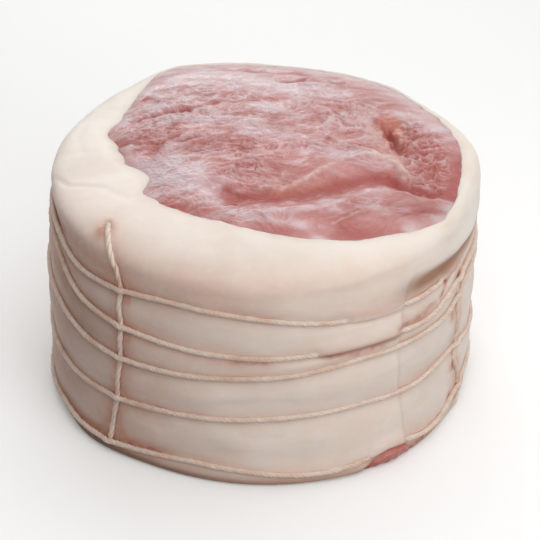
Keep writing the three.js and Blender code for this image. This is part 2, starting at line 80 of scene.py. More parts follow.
FOOT_SPREAD = [(-180, 0.3), (-150, 1.2), (-138, 1.8), (-118, 0.6), (-90, 1.2), (-58, 1.7),
               (-40, 0.9), (-20, 0.1), (0, 0), (60, 0.6), (90, 1.2), (130, 0.8)]
SPREAD_HEIGHT = 6
# The fat swells by a share of the room between two rings, up to a limit, and above them.
SWELL_SHARE, SWELL_MOST, SWELL_ABOVE, SWELL_RUN = 0.06, 0.65, 0.45, 3
FOLD_HEIGHT = [(-180, 43.6), (-130, 41.4), (-100, 42.4), (-60, 40.8), (-51, 40.3), (-39, 39.3),
               (-30, 38.8), (-22, 38.7), (-8, 39.6), (10, 41), (40, 41.8), (90, 42), (145, 43.2)]
FOLD_DEPTH = [(-180, 0), (-60, 0), (-52, 0.35), (-46, 0.9), (-38, 1.6), (-28, 1.7), (-16, 1.2),
              (-2, 0.6), (18, 0), (90, 0)]
# Where the sheet overlaps its own end: [height, azimuth].
SEAM = [(0, -52), (11, -53), (20, -54), (30, -54), (38, -52), (43, -49.5)]
SEAM_STEP, SEAM_WIDTH, SEAM_RUN, SEAM_END, SEAM_FADE = 0.4, 1.8, 45, 45, 5
# The upright strands: [height, azimuth], how far each climbs the shoulder, and its lower end.
UPRIGHTS = {
    "left": [(0, -132), (6, -130.4), (16, -128.3), (24, -127.3), (31, -126.6), (36, -127),
             (39.5, -126.8), (43.7, -127.9), (45.6, -129.6), (47.3, -132.8), (48, -135.6),
             (48.5, -139.5)],
    "right": [(0, -26.6), (5, -24), (9, -25.5), (13, -28), (17, -26.6), (24, -27.4), (36, -27.8)],
    "back": [(0, 102), (14, 100), (26, 101.5), (38, 99), (50, 101)],
}
CLIMB = {"left": 0.56, "right": 0, "back": 0.34}
UPRIGHT_FOOT = {"left": 2.7, "right": 0.7, "back": 0.7}
RIGHT_UPRIGHT_TOP = 33.2
# A gap under the fat where the seam ends.
LIFT, LIFT_AZIMUTH, LIFT_WIDTH, LIFT_RUN = 2.5, -57, 9, 7
# At the back the meat swells out over the sheet, so that hardly any fat shows over it.
OVERHANG, OVERHANG_MIDDLE, OVERHANG_HALF, OVERHANG_RUN, OVERHANG_DROP = 1.9, 80, 42, 22, 0.2


# Curves and noise

def follow(pairs, place, period=0):
    """A smooth curve through [place, value] pairs, level past its ends or closed."""
    xs = np.array([pair[0] for pair in pairs], float)
    ys = np.array([pair[1] for pair in pairs], float)
    at = np.asarray(place, float)
    if period:
        at = xs[0] + np.mod(at - xs[0], period)
        xs, ys = (np.concatenate([[xs[-1] - period], xs, [xs[0] + period, xs[1] + period]]),
                  np.concatenate([[ys[-1]], ys, [ys[0], ys[1]]]))
    at = np.clip(at, xs[0], xs[-1])
    k = np.clip(np.searchsorted(xs, at, side="right") - 1, 0, len(xs) - 2)
    before = np.maximum(k - 1, 0)
    after = np.minimum(k + 2, len(xs) - 1)
    span = xs[k + 1] - xs[k]
    slope0 = (ys[k + 1] - ys[before]) / (xs[k + 1] - xs[before])
    slope1 = (ys[after] - ys[k]) / (xs[after] - xs[k])
    t = (at - xs[k]) / span
    return (ys[k] * (2 * t**3 - 3 * t**2 + 1) + ys[k + 1] * (3 * t**2 - 2 * t**3)
            + span * (slope0 * (t**3 - 2 * t**2 + t) + slope1 * (t**3 - t**2)))


def round_curve(pairs, azimuth):
    return follow(pairs, azimuth, 360)


def smooth(x, low, high):
    t = np.clip((np.asarray(x, float) - low) / (high - low), 0, 1)
    return t * t * (3 - 2 * t)


def turn(start, end):
    """The way round from one azimuth to another, -180 to 180 degrees."""
    return np.mod(end - start + 180, 360) - 180


def bell(x, width):
    return np.exp(-(np.asarray(x, float) / width) ** 2)


def hashed(x, y, z, seed):
    """A whole number that looks random, for each corner of a grid."""
    h = (x * 374761393 + y * 668265263 + z * 974634777 + seed * 127412617) & 0xFFFFFFFF
    h = ((h ^ (h >> 13)) * 1103515245) & 0xFFFFFFFF
    return h ^ (h >> 16)


def lumps(x, y, z, seed):
    """Smooth gradient noise, about -1 to 1, with lumps one unit across."""
    x, y, z = np.broadcast_arrays(*(np.asarray(v, float) for v in (x, y, z)))
    cells = [np.floor(v).astype(np.int64) for v in (x, y, z)]
    parts = [v - cell for v, cell in zip((x, y, z), cells)]
    eased = [f * f * f * (f * (f * 6 - 15) + 10) for f in parts]
    total = np.zeros(x.shape)
    for corner in range(8):
        step = (corner & 1, corner >> 1 & 1, corner >> 2 & 1)
        h = hashed(*(cell + s for cell, s in zip(cells, step)), seed)
        weight, dot = 1.0, 0.0
        for axis in range(3):
            slope = (h >> (10 * axis) & 1023) / 511.5 - 1
            dot = dot + slope * (parts[axis] - step[axis])
            weight = weight * (eased[axis] if step[axis] else 1 - eased[axis])
        total = total + weight * dot
    return total * 1.6


def half_lumps(x, y, z, seed):
    """The same noise from 0 to 1."""
    return 0.5 + 0.5 * lumps(x, y, z, seed)


def far_from(route, x, y):
    """Distance to a route of straight stretches, the side it lies on and the share along."""
    best = np.full(np.shape(x), 1e9)
    side = np.zeros(np.shape(x))
    along = np.zeros(np.shape(x))
    for k in range(len(route) - 1):
        (x0, y0), (x1, y1) = route[k], route[k + 1]
        dx, dy = x1 - x0, y1 - y0
        length = math.hypot(dx, dy)
        t = np.clip(((x - x0) * dx + (y - y0) * dy) / length**2, 0, 1)
        away = np.hypot(x - x0 - t * dx, y - y0 - t * dy)
        nearer = away < best
        best = np.where(nearer, away, best)
        side = np.where(nearer, np.sign(dx * (y - y0) - dy * (x - x0)), side)
        along = np.where(nearer, (k + t) / (len(route) - 1), along)
    return best, side, along


def stroke(route, x, y, width, ends=(0.0, 0.18, 0.82, 1.0)):
    """A soft line along a route, which fades in and out between these shares of it."""
    away, _, along = far_from(route, x, y)
    return bell(away, width) * smooth(along, *ends[:2]) * (1 - smooth(along, *ends[2:]))


def strokes(routes, x, y):
    """The sum of soft lines, each with its route, half-width and strength."""
    total = np.zeros(x.shape)
    for route, width, strength in routes:
        total = total + strength * stroke(route, x, y, width, (-0.12, 0.14, 0.86, 1.12))
    return total


# The wrapped round

def ring_height(ring, azimuth):
    return round_curve(RINGS[ring], azimuth)


def side_radius(azimuth, z):
    """Radius of the side where no twine presses in."""
    oval = OVAL * np.cos(np.radians(2 * (azimuth + 90)))
    spread = round_curve(FOOT_SPREAD, azimuth) * bell(z, SPREAD_HEIGHT)
    taper = round_curve(SIDE_TAPER, azimuth) * smooth(z, TAPER_FROM, TAPER_TO)
    return SIDE_RADIUS + oval + spread - taper


def inner_radius(azimuth):
    """Radius at which the fat meets the meat, well below the face."""
    return side_radius(azimuth, MID_HEIGHT) - FAT_THICKNESS


def swelling(azimuth, z):
    """The fat swells between the rings, more where they are further apart."""
    heights = [ring_height(k, azimuth) for k in range(len(RINGS))]
    out = np.zeros(np.broadcast(azimuth, z).shape)
    for low, high in zip(heights, heights[1:]):
        share = np.clip((z - low) / (high - low), 0, 1)
        swell = np.minimum(SWELL_SHARE * (high - low), SWELL_MOST)
        out = out + swell * np.sin(np.pi * share) ** 2
    return out + SWELL_ABOVE * smooth(z - heights[-1], 0, SWELL_RUN)


def overlap(azimuth, z):
    """The end of the sheet stands proud to the left of the seam and thins out from it."""
    past = -turn(follow(SEAM, z), azimuth)
    step = smooth(past, -SEAM_WIDTH / 2, SEAM_WIDTH / 2)
    thinning = 1 - smooth(past, 0, SEAM_RUN)
    return SEAM_STEP * step * thinning * (1 - smooth(z, SEAM_END - SEAM_FADE, SEAM_END))


def surface_radius(azimuth, z):
    return side_radius(azimuth, z) + swelling(azimuth, z) + overlap(azimuth, z)


def lift_at(azimuth):
    away = np.abs(turn(LIFT_AZIMUTH, azimuth))
    return LIFT * (1 - smooth(away, LIFT_WIDTH - LIFT_RUN, LIFT_WIDTH))


def overhang(azimuth):
    away = np.abs(turn(OVERHANG_MIDDLE, azimuth))
    return 1 - smooth(away, OVERHANG_HALF - OVERHANG_RUN / 2, OVERHANG_HALF + OVERHANG_RUN / 2)


def meat_edge(azimuth):
    """Radius of the line where the fat ends on the meat, with its small unevenness."""
    x, y, _ = np.moveaxis(at(azimuth, 40.0, 0.0), -1, 0)
    wobble = 0.45 * lumps(x / 6, y / 6, 0, 61) + 0.22 * lumps(x / 2.2, y / 2.2, 0, 62)
    return round_curve(MEAT_EDGE_RADIUS, azimuth) + OVERHANG * overhang(azimuth) + wobble


def meat_edge_height(azimuth):
    return round_curve(MEAT_EDGE_HEIGHT, azimuth) - OVERHANG_DROP * overhang(azimuth)


def shoulder_point(azimuth, share):
    """Radius and height on the shoulder, from 0 at the side to 1 at the edge of the meat."""
    power = 2 / round_curve(SHOULDER_SQUARENESS, azimuth)
    start = round_curve(SHOULDER_HEIGHT, azimuth)
    outer, inner = surface_radius(azimuth, start), meat_edge(azimuth)
    angle = share * np.pi / 2
    return (inner + (outer - inner) * np.maximum(np.cos(angle), 0) ** power,
            start + (meat_edge_height(azimuth) - start) * np.sin(angle) ** power)


def at(azimuth, radius, z):
    """A point from its azimuth, radius and height."""
    angle = np.radians(azimuth)
    return np.stack(np.broadcast_arrays(radius * np.cos(angle), radius * np.sin(angle), z), -1)


def turned(azimuth, profile):
    """Points of a profile, given as (radius, height) pairs, at every azimuth."""
    return np.stack([at(azimuth, radius, z) for radius, z in profile], 1)


# Meshes

def put(name, data):
    """A new object in the scene."""
    made = bpy.data.objects.new(name, data)
    bpy.context.scene.collection.objects.link(made)
    return made


def make_mesh(name, points, parts, smooth_faces=True, **values):
    """A piece from points in millimetres, arrays of faces and named values at the points."""
    mesh = bpy.data.meshes.new(name)
    mesh.vertices.add(len(points))
    mesh.vertices.foreach_set("co", (points * MM).astype(np.float32).ravel())
    corners = np.concatenate([part.ravel() for part in parts])
    mesh.loops.add(len(corners))
    mesh.loops.foreach_set("vertex_index", corners.astype(np.int32))
    sizes = np.concatenate([np.full(len(part), part.shape[1]) for part in parts])
    mesh.polygons.add(len(sizes))
    mesh.polygons.foreach_set("loop_start", (np.cumsum(sizes) - sizes).astype(np.int32))
    for key, value in values.items():
        kind, field = (("FLOAT_VECTOR", "vector") if value.shape == (len(points), 3)
                       else ("FLOAT", "value"))
        layer = mesh.attributes.new(key, kind, "POINT")
        layer.data.foreach_set(field, value.astype(np.float32).ravel())
    mesh.update(calc_edges=True)
    mesh.validate()
    mesh.polygons.foreach_set("use_smooth", np.full(len(mesh.polygons), smooth_faces))
    return put(name, mesh)


def grid_faces(columns, rows):
    """Quads between neighbouring columns and rows of a ring-shaped grid, facing outwards."""
    c, r = np.meshgrid(np.arange(columns), np.arange(rows), indexing="ij")
    c1, r1 = (c + 1) % columns, (r + 1) % rows
    quads = [c * rows + r, c1 * rows + r, c1 * rows + r1, c * rows + r1]
    return np.stack([q.ravel() for q in quads], -1)


def grid_normals(points):
    """Outward direction at each point of a ring-shaped grid."""
    across, along = (np.roll(points, -1, axis) - np.roll(points, 1, axis) for axis in (0, 1))
    normals = np.cross(across, along)
    return normals / np.maximum(np.linalg.norm(normals, axis=-1, keepdims=True), 1e-9)


# The sheet of fat

FAT_COLUMNS = 680
BAND_REACH = 1.4  # rows lie close together this far below and above each ring
BAND = [-1.4, -1.05, -0.78, -0.55, -0.3, 0, 0.3, 0.55, 0.78, 1.05, 1.4]
BETWEEN = [1, 9, 9, 6, 4]  # rows below each ring's band, from the lowest up
ABOVE = 12
SHOULDER_ROWS = 30
EDGE_ROUND, EDGE_RISE = 1.6, 0.9  # how the lower edge is rounded, inwards and up
# How far the twine stands out: a ring, more where it rides over an upright, an upright, more
# where the fat swells, and an upright behind a ring.
RING_OUT, RING_OVER, UPRIGHT_OUT, UPRIGHT_SWELL, UPRIGHT_BEHIND = 0.36, 0.40, 0.12, 0.45, -0.05
LIP = [(0.22, 0.06), (0.40, 0.28), (0.42, 0.62), (0.15, 1.15)]  # inwards and down at the meat
# Stretches where fat closes over a ring: ring, middle azimuth, half-width in degrees, depth.
BURIED = [(4, -60.5, 8, 0.85), (4, -17.5, 19.5, 1.8), (3, -64.5, 11.5, 0.85),
          (0, -56.5, 5.5, 0.85)]
# Soft creases pressed into the side: [azimuth, height] routes, half-width, depth.
SIDE_CREASES = [
    ([(-109, 14.5), (-98, 19), (-88, 20), (-78, 18.6)], 0.9, 0.16),
    ([(-118, 37.2), (-100, 35), (-84, 33.9), (-70, 32.8)], 0.7, 0.14),
    ([(-170, 43), (-160, 42.3), (-150, 42.6)], 1.6, 0.35),
    ([(-96, 8), (-84, 7.2), (-72, 8.2)], 1, 0.1),
    ([(-48, 21.5), (-38, 23), (-31, 22)], 0.8, 0.14),
    ([(-50, 11), (-40, 9.4), (-30, 11)], 0.8, 0.12),
    ([(60, 20.5), (78, 19), (92, 20.5)], 0.9, 0.16),
    ([(120, 8), (138, 8.8), (155, 7.6)], 1, 0.14),
    ([(10, 22), (26, 20.5), (40, 21.5)], 0.9, 0.14),
    ([(150, 31), (165, 32.5), (178, 31.5)], 0.9, 0.14),
]
# Soft creases of the shoulder: routes in X and Y, half-width, depth.
TOP_CREASES = [
    ([(-43.5, -3), (-39.9, -8.4), (-38.2, -10.8), (-32.4, -12.3), (-30, -13.9), (-27.1, -17),
      (-23.5, -20.4)], 0.7, 0.22),
    ([(38, -22.5), (41, -17), (42.6, -9)], 0.8, 0.15),
    ([(-36.5, 17), (-38, 8), (-36, -1)], 1.2, 0.15),
]
# How pink and how brown the side is, by azimuth: most at the left, partly juice that has soaked in
# and partly painted shade on that side.
SIDE_BLUSH_AND_SHADE = [(-180, 0.7), (-155, 0.7), (-135, 0.38), (-110, 0.26), (-90, 0.24), (-60, 0.22),
              (-45, 0.16), (-20, 0.18), (0, 0.25), (60, 0.35), (120, 0.45), (155, 0.6)]
SIDE_BROWN_AND_SHADE = [(-180, 0.44), (-155, 0.44), (-138, 0.22), (-120, 0.02), (-90, 0), (-60, 0.02),
              (-45, 0.08), (-20, 0.08), (0, 0.06), (60, 0.06), (120, 0.15), (155, 0.32)]
# Soft spots: stain, strength, azimuth, half-width, height, half-height, and the pattern that
# varies them, with its least value and how much it adds.
# The brown spots are painted shade at the fold and at the left, and the blush spot below ring 2 is
# painted shade too.
SPOTS = [
    ("blush", 0.74, -112, 60, 43.8, 4.6, "broad", 0.5, 0.6),
    ("blush", 0.35, -100, 14, 28.3, 1.3, "broad", 1, 0),
    ("blush", 0.5, -131, 5, 6, 5, "fine", 0.3, 0.9),
    ("brown", 0.45, -47, 9, 38.2, 2, "broad", 1, 0),
    ("brown", 0.4, -163, 10, 43, 1.6, "broad", 1, 0),
    ("brown", 0.4, -140, 12, 28.5, 6, "broad", 0.5, 0.8),
]
# Stains and painted shade at the foot: stain, strength, azimuth, half-width, where they end and
# are full, and how the fine pattern varies them. The last two are painted shade under the rounded
# foot, dark grey-brown.
FOOT_STAINS_AND_SHADE = [
    ("brown", 0.9, -138, 26, 2.2, 0.8, 1, 0),
    ("grime", 0.9, -146, 34, 2.3, 1.0, 0.6, 0.6),
    ("grime", 0.25, -80, 50, 1.6, 0.6, 1, 0),
]
# Dark red lines that the juice has drawn: [azimuth, height] routes, half-width, strength.
BLOOD_LINES = [
    ([(-39, 32), (-38.2, 32.5), (-36, 33.7), (-33.8, 35.1), (-32, 36)], 0.4, 1),
    ([(-57, 31.6), (-52, 31), (-48, 30.9), (-43.1, 31.6), (-38, 32)], 0.55, 0.55),
    ([(-52, 0.9), (-48, 1.2), (-43, 1.6), (-39.1, 2), (-34, 3.2)], 0.55, 0.9),
    ([(-31.5, 28), (-31, 26), (-30.6, 23)], 0.4, 0.8),
    ([(-29.4, 13.4), (-28.9, 12), (-29.2, 10.8)], 0.45, 0.9),
    ([(-30.8, 6.4), (-30.4, 5.2), (-31.4, 4)], 0.5, 0.9),
    ([(-150, 40.9), (-146, 39.6), (-141, 39.6)], 0.4, 0.4),
    ([(-127, 37.6), (-125.4, 37.2), (-123, 37.4)], 0.4, 0.5),
    ([(-128, 29.8), (-125.8, 29.9), (-123, 29.9)], 0.5, 0.5),
    ([(-156, 3.3), (-145, 3.2), (-131, 3.6), (-122, 4.2), (-112, 4.9)], 0.45, 0.6),
    ([(-98, 29), (-92, 28.8), (-86, 28.8)], 0.35, 0.4),
    ([(-76, 29.3), (-70, 28.9), (-62, 28.8), (-56, 29.4)], 0.45, 0.5),
]


def fat_columns():
    """Azimuths of the columns, closer together beside the uprights and at the seam."""
    fine = np.linspace(-180, 180, 7200, endpoint=False)
    dense = np.ones(len(fine))
    for course in UPRIGHTS.values():
        dense += 1.3 * bell(turn(follow(course, MID_HEIGHT), fine), 6)
    dense += 0.6 * bell(turn(follow(SEAM, MID_HEIGHT), fine), 5)
    total = np.concatenate([[0], np.cumsum(dense)])
    places = np.linspace(0, total[-1], FAT_COLUMNS, endpoint=False)
    return np.interp(places, total, np.append(fine, 180.0))


def unevenness(azimuth, z):
    """The soft waviness of the wrapped side, which the twine follows too."""
    x, y, _ = np.moveaxis(at(azimuth, SIDE_RADIUS, z), -1, 0)
    return 0.32 * lumps(x / 15, y / 15, z / 13, 11) + 0.12 * lumps(x / 6, y / 6, z / 4.5, 12)


def buried(ring, azimuth):
    """How far fat closes over a ring, from 0 to 1, and how deep the ring goes in there."""
    cover, depth = np.zeros(np.shape(azimuth)), np.zeros(np.shape(azimuth))
    for which, middle, half, deep in BURIED:
        if which == ring:
            here = 1 - smooth(np.abs(turn(middle, azimuth)), half - 2.5, half + 2.0)
            cover, depth = np.maximum(cover, here), np.maximum(depth, deep * here)
    return cover, depth


def crossing(azimuth, z):
    """How near a place is to where an upright passes under a ring, from 0 to 1."""
    near = np.zeros(np.broadcast(azimuth, z).shape)
    for course in UPRIGHTS.values():
        away = np.radians(turn(follow(course, z), azimuth)) * SIDE_RADIUS
        near = np.maximum(near, bell(away, 1.1))
    return near


def ring_radius(ring, azimuth):
    """Where the middle of a ring lies: it rides over the uprights and goes under the folds."""
    z = ring_height(ring, azimuth)
    lifted = RING_OUT + RING_OVER * crossing(azimuth, z) - buried(ring, azimuth)[1]
    return side_radius(azimuth, z) + unevenness(azimuth, z) + lifted


def upright_radius(azimuth, z):
    """Where the middle of an upright lies: it dips to pass behind each ring."""
    dip = np.zeros(np.broadcast(azimuth, z).shape)
    for k in range(len(RINGS)):
        dip = np.maximum(dip, 1 - smooth(np.abs(z - ring_height(k, azimuth)), 0.3, 3.2))
    free = UPRIGHT_SWELL * swelling(azimuth, z) + UPRIGHT_OUT
    lifted = free + (UPRIGHT_BEHIND - free) * dip
    return side_radius(azimuth, z) + unevenness(azimuth, z) + lifted


def rows_between(low, high, count):
    return [low + (high - low) * j / (count + 1) for j in range(1, count + 1)]


def fat_heights(azimuth):
    """Heights of the rows up the side, close together at each ring."""
    start = lift_at(azimuth) + EDGE_RISE
    shoulder = round_curve(SHOULDER_HEIGHT, azimuth)
    rings = [ring_height(k, azimuth) for k in range(len(RINGS))]
    rows = [start]
    for k, middle in enumerate(rings):
        room_below = middle - start if k == 0 else (middle - rings[k - 1]) / 2
        room_above = (shoulder - middle if k == len(rings) - 1
                      else (rings[k + 1] - middle) / 2)
        below, above = (np.minimum(BAND_REACH, room - 0.12) / BAND_REACH
                        for room in (room_below, room_above))
        band = [middle + offset * (below if offset < 0 else above) for offset in BAND]
        rows += rows_between(rows[-1], band[0], BETWEEN[k]) + band
    return np.stack(rows + rows_between(rows[-1], shoulder, ABOVE), 1)


def fat_base(azimuth):
    """The plain form of the sheet, a closed loop of rows for every column: its points, and
    the rows where the side starts, where the shoulder starts and where it ends."""
    lift, low, foot = lift_at(azimuth), side_radius(azimuth, 0), inner_radius(azimuth)
    rows = [(foot + (low - EDGE_ROUND - foot) * share, lift) for share in (0, 0.35, 0.7, 1)]
    rows += [(low - EDGE_ROUND * (1 - math.sin(angle)), lift + EDGE_RISE * (1 - math.cos(angle)))
             for angle in np.radians((22, 44, 66))]
    under = len(rows)
    rows += [(surface_radius(azimuth, z), z) for z in fat_heights(azimuth).T]
    side_end = len(rows)
    rows += [shoulder_point(azimuth, share)
             for share in np.linspace(0, 1, SHOULDER_ROWS) ** 0.9]
    shoulder_end = len(rows)
    edge, top = meat_edge(azimuth), meat_edge_height(azimuth)
    rows += [(edge - inwards, top - down) for inwards, down in LIP]
    rows += [(edge + (foot - edge) * share, top - drop) for drop, share in ((4, 0.3), (14, 1.0))]
    return turned(azimuth, rows), under, side_end, shoulder_end


def upright_path(name, spacing=0.3):
    """Middle line of an upright strand, its outward directions and its length."""
    course, climb = UPRIGHTS[name], CLIMB[name]
    start = follow(course, MID_HEIGHT)
    top = float(round_curve(SHOULDER_HEIGHT, start)) if climb else RIGHT_UPRIGHT_TOP
    z = np.linspace(UPRIGHT_FOOT[name], top, 400)
    azimuth = follow(course, z)
    points = at(azimuth, upright_radius(azimuth, z), z)
    lean = np.zeros(len(z))
    if climb:
        share = np.linspace(0, climb, 120)[1:]
        over = follow(course, shoulder_point(start, share)[1])
        radius, height = shoulder_point(over, share)
        angle = share * np.pi / 2
        points = np.concatenate([points, at(over, radius + 0.2 * np.cos(angle),
                                           height + 0.2 * np.sin(angle))])
        azimuth, lean = np.concatenate([azimuth, over]), np.concatenate([lean, angle])
    outward = at(azimuth, np.cos(lean), np.sin(lean))
    steps = np.concatenate([[0], np.cumsum(np.linalg.norm(np.diff(points, axis=0), axis=1))])
    places = np.linspace(0, steps[-1], int(steps[-1] / spacing) + 1)
    points, outward = (np.stack([np.interp(places, steps, line[:, k]) for k in range(3)], 1)
                       for line in (points, outward))
    outward /= np.linalg.norm(outward, axis=1, keepdims=True)
    sunk = 1.1 * bell(places - places[-1], 2.2) + 0.4 * bell(places, 0.8)
    return points - outward * sunk[:, None], outward, places[-1]


def near_upright(points, azimuth):
    """For each point, the distance sideways to the nearest upright and how deep that lies."""
    away = np.full(points.shape[:-1], 99.0)
    depth = np.zeros(points.shape[:-1])
    for name, course in UPRIGHTS.items():
        path, outward, _ = upright_path(name, 0.5)
        close = np.abs(turn(follow(course, MID_HEIGHT), azimuth)) < 22
        for column in np.nonzero(close)[0]:
            gap = points[column][:, None, :] - path[None, :, :]
            nearest = np.linalg.norm(gap, axis=-1).argmin(1)
            chosen, out = gap[np.arange(len(nearest)), nearest], outward[nearest]
            outwards = (chosen * out).sum(-1)
            sideways = np.linalg.norm(chosen - out * outwards[:, None], axis=-1)
            nearer = sideways < away[column]
            away[column] = np.where(nearer, sideways, away[column])
            depth[column] = np.where(nearer, outwards, depth[column])
    return away, depth


def unrolled(routes):
    """Routes on the side with their azimuths turned to millimetres round it."""
    return [([(math.radians(a) * SIDE_RADIUS, h) for a, h in route], width, amount)
            for route, width, amount in routes]


def ring_grooves(az, z):
    """How the rings press the side in, or out where it closes over them, and the height over
    the nearest ring."""
    push, nearest = np.zeros(z.shape), np.full(z.shape, 99.0)
    for k in range(len(RINGS)):
        slope = (ring_height(k, az + 0.5) - ring_height(k, az - 0.5)) / np.radians(SIDE_RADIUS)
        off = (z - ring_height(k, az)) / np.sqrt(1 + slope**2)
        cover = buried(k, az)[0]
        press = 0.08 * bell(off - 1.3, 0.8) - 0.13 * bell(off + 0.75, 0.5)
        closed = 0.62 * smooth(off, -0.75, -0.35) * (1 - smooth(off, 0.6, 3.2))
        closed -= 0.35 * bell(off + 0.95, 0.28)
        push += press * (1 - cover) + closed * cover
        nearest = np.where(np.abs(off) < np.abs(nearest), off, nearest)
    return push, nearest


def fold_at(az, z):
    """Height over the deep fold at the right, and how deep it is there."""
    return z - round_curve(FOLD_HEIGHT, az), np.maximum(round_curve(FOLD_DEPTH, az), 0)


def lobe_at(x, y):
    """The pale lobe of fat at the left of the face."""
    return bell(np.hypot((x + 32.5) / 6.5, (y - 1.0) / 9.0), 1.0)


def fat_stains_and_shade(az, points, shaped, away, ring_far, on_top, past_side):
    """Blood and juice that the twine draws, the brown of the folds, and painted shade: in the deep
    fold, along the seam, under the fat over ring 2, on the left side, and partly at the foot.
    """
    x, y, z = np.moveaxis(points, -1, 0)
    fold, depth = fold_at(az, z)
    broad, fine = half_lumps(x / 14, y / 14, z / 5, 21), half_lumps(x / 5, y / 5, z / 2.2, 22)
    speckled, clouded = 0.4 + 0.8 * fine, 0.7 + 0.6 * broad
    reach = z - 40.0 - 4.8 * smooth(np.abs(turn(-160, az)), 46, 20)
    high = smooth(z, 40, 43)
    stain = {key: np.zeros(z.shape) for key in ("blush", "brown", "blood", "chalk", "grime")}
    for key, strength, middle, width, height, half, pattern, least, more in SPOTS:
        varied = least + more * (broad if pattern == "broad" else fine)
        stain[key] += strength * bell(turn(middle, az), width) * bell(z - height, half) * varied
    for key, strength, middle, width, end, full, least, more in FOOT_STAINS_AND_SHADE:
        stain[key] += (strength * bell(turn(middle, az), width) * smooth(-z, -end, -full)
                       * (least + more * fine))
    # The side's blush is partly juice stain, partly painted shade that darkens the left side.
    stain["blush"] += (
        round_curve(SIDE_BLUSH_AND_SHADE, az) * (1 - smooth(reach, -2.5, 2.6)) * clouded
        + 0.30 * bell(turn(-121, az), 12) * (1 - smooth(z, 32, 37)) * speckled
        + 0.50 * bell(away - 0.7, 2.0) * (0.5 + 0.7 * fine) * (1 - 0.6 * high)
        + 0.24 * bell(ring_far - 0.9, 1.3) * (0.2 + 0.9 * broad)
        + 0.22 * bell(ring_far + 0.9, 0.5) * (0.2 + 1.0 * fine)
        + 0.20 * on_top * bell(np.hypot(x, y) - meat_edge(az), 1.0) * speckled
        + 0.30 * smooth(-z, -4.0, -0.5) * speckled)
    seam = turn(follow(SEAM, z), az)
    # Brown: painted shade in the deep fold under the overhanging fat, under the fat closed over
    # ring 2 and in a line along the seam; at the foot partly browning, partly painted shade.
    stain["brown"] += (
        round_curve(SIDE_BROWN_AND_SHADE, az) * (1 - smooth(reach, -3.0, 2.2)) * clouded
        + 0.9 * smooth(fold, -4.2, -0.7) * (1 - smooth(fold, -0.9, 2.2))
        * np.minimum(depth, 1.4) / 1.4 * (1 - 0.55 * smooth(az, -36, -22))
        + 0.6 * bell(fold + 0.5, 0.8) * smooth(az, -36, -27) * (1 - smooth(az, -14, 2))
        + 0.8 * buried(3, az)[0] * bell(z - ring_height(3, az) + 0.6, 0.8)
        + 0.7 * smooth(-z, -2.8, -0.6) * (1 - 0.85 * bell(turn(-36, az), 14))
        + 0.45 * bell(turn(-136, az), 26) * bell(z - ring_height(0, az) - 1.3, 0.8)
        + smooth(-z, -41, -37) * (0.05 * smooth(seam, 0, 0.6) * (1 - smooth(seam, 5, 20))
                                  + 0.12 * bell(seam - 0.5, 0.7)))
    stain["blood"] += 0.5 * bell(away - 0.6, 0.45) * smooth(fine, 0.55, 0.85) * (1 - high)
    round_side, rippled = np.radians(az) * SIDE_RADIUS, z + 0.6 * lumps(
        x / 2.2, y / 2.2, z / 2.2, 23)
    broken = 0.15 + 0.85 * smooth(lumps(x / 1.3, y / 1.3, z / 1.1, 24), -0.35, 0.45)
    for route, width, strength in unrolled(BLOOD_LINES):
        stain["blood"] += strength * broken * stroke(route, round_side, rippled, 1.15 * width)
        stain["blush"] += 0.5 * strength * stroke(route, round_side, rippled, 3 * width)
    lifted = smooth(lift_at(az), 0.2, 0.9) * bell(z - lift_at(az) - 0.9, 0.9)
    stain["blood"] += 0.45 * lifted * broken
    stain["blush"] += 0.5 * lifted

    # a pink halo at the upper end of the left upright, and the pale lobe and shoulder
    from_tip = shaped - upright_path("left", 0.5)[0][-6] - (-0.6, 0.5, 0.4)
    halo = (bell(np.linalg.norm(from_tip, axis=-1), 1.6)
            + 0.7 * bell(np.linalg.norm(from_tip + (0.3, 0.5, 2.2), axis=-1), 1.7))
    stain["blush"] += 0.9 * halo
    stain["brown"] += 0.25 * halo
    stain["chalk"] += (0.2 * lobe_at(x, y) * (0.4 + 1.2 * fine)
                       + 0.6 * bell(turn(-172, az), 30) * past_side)
    return stain


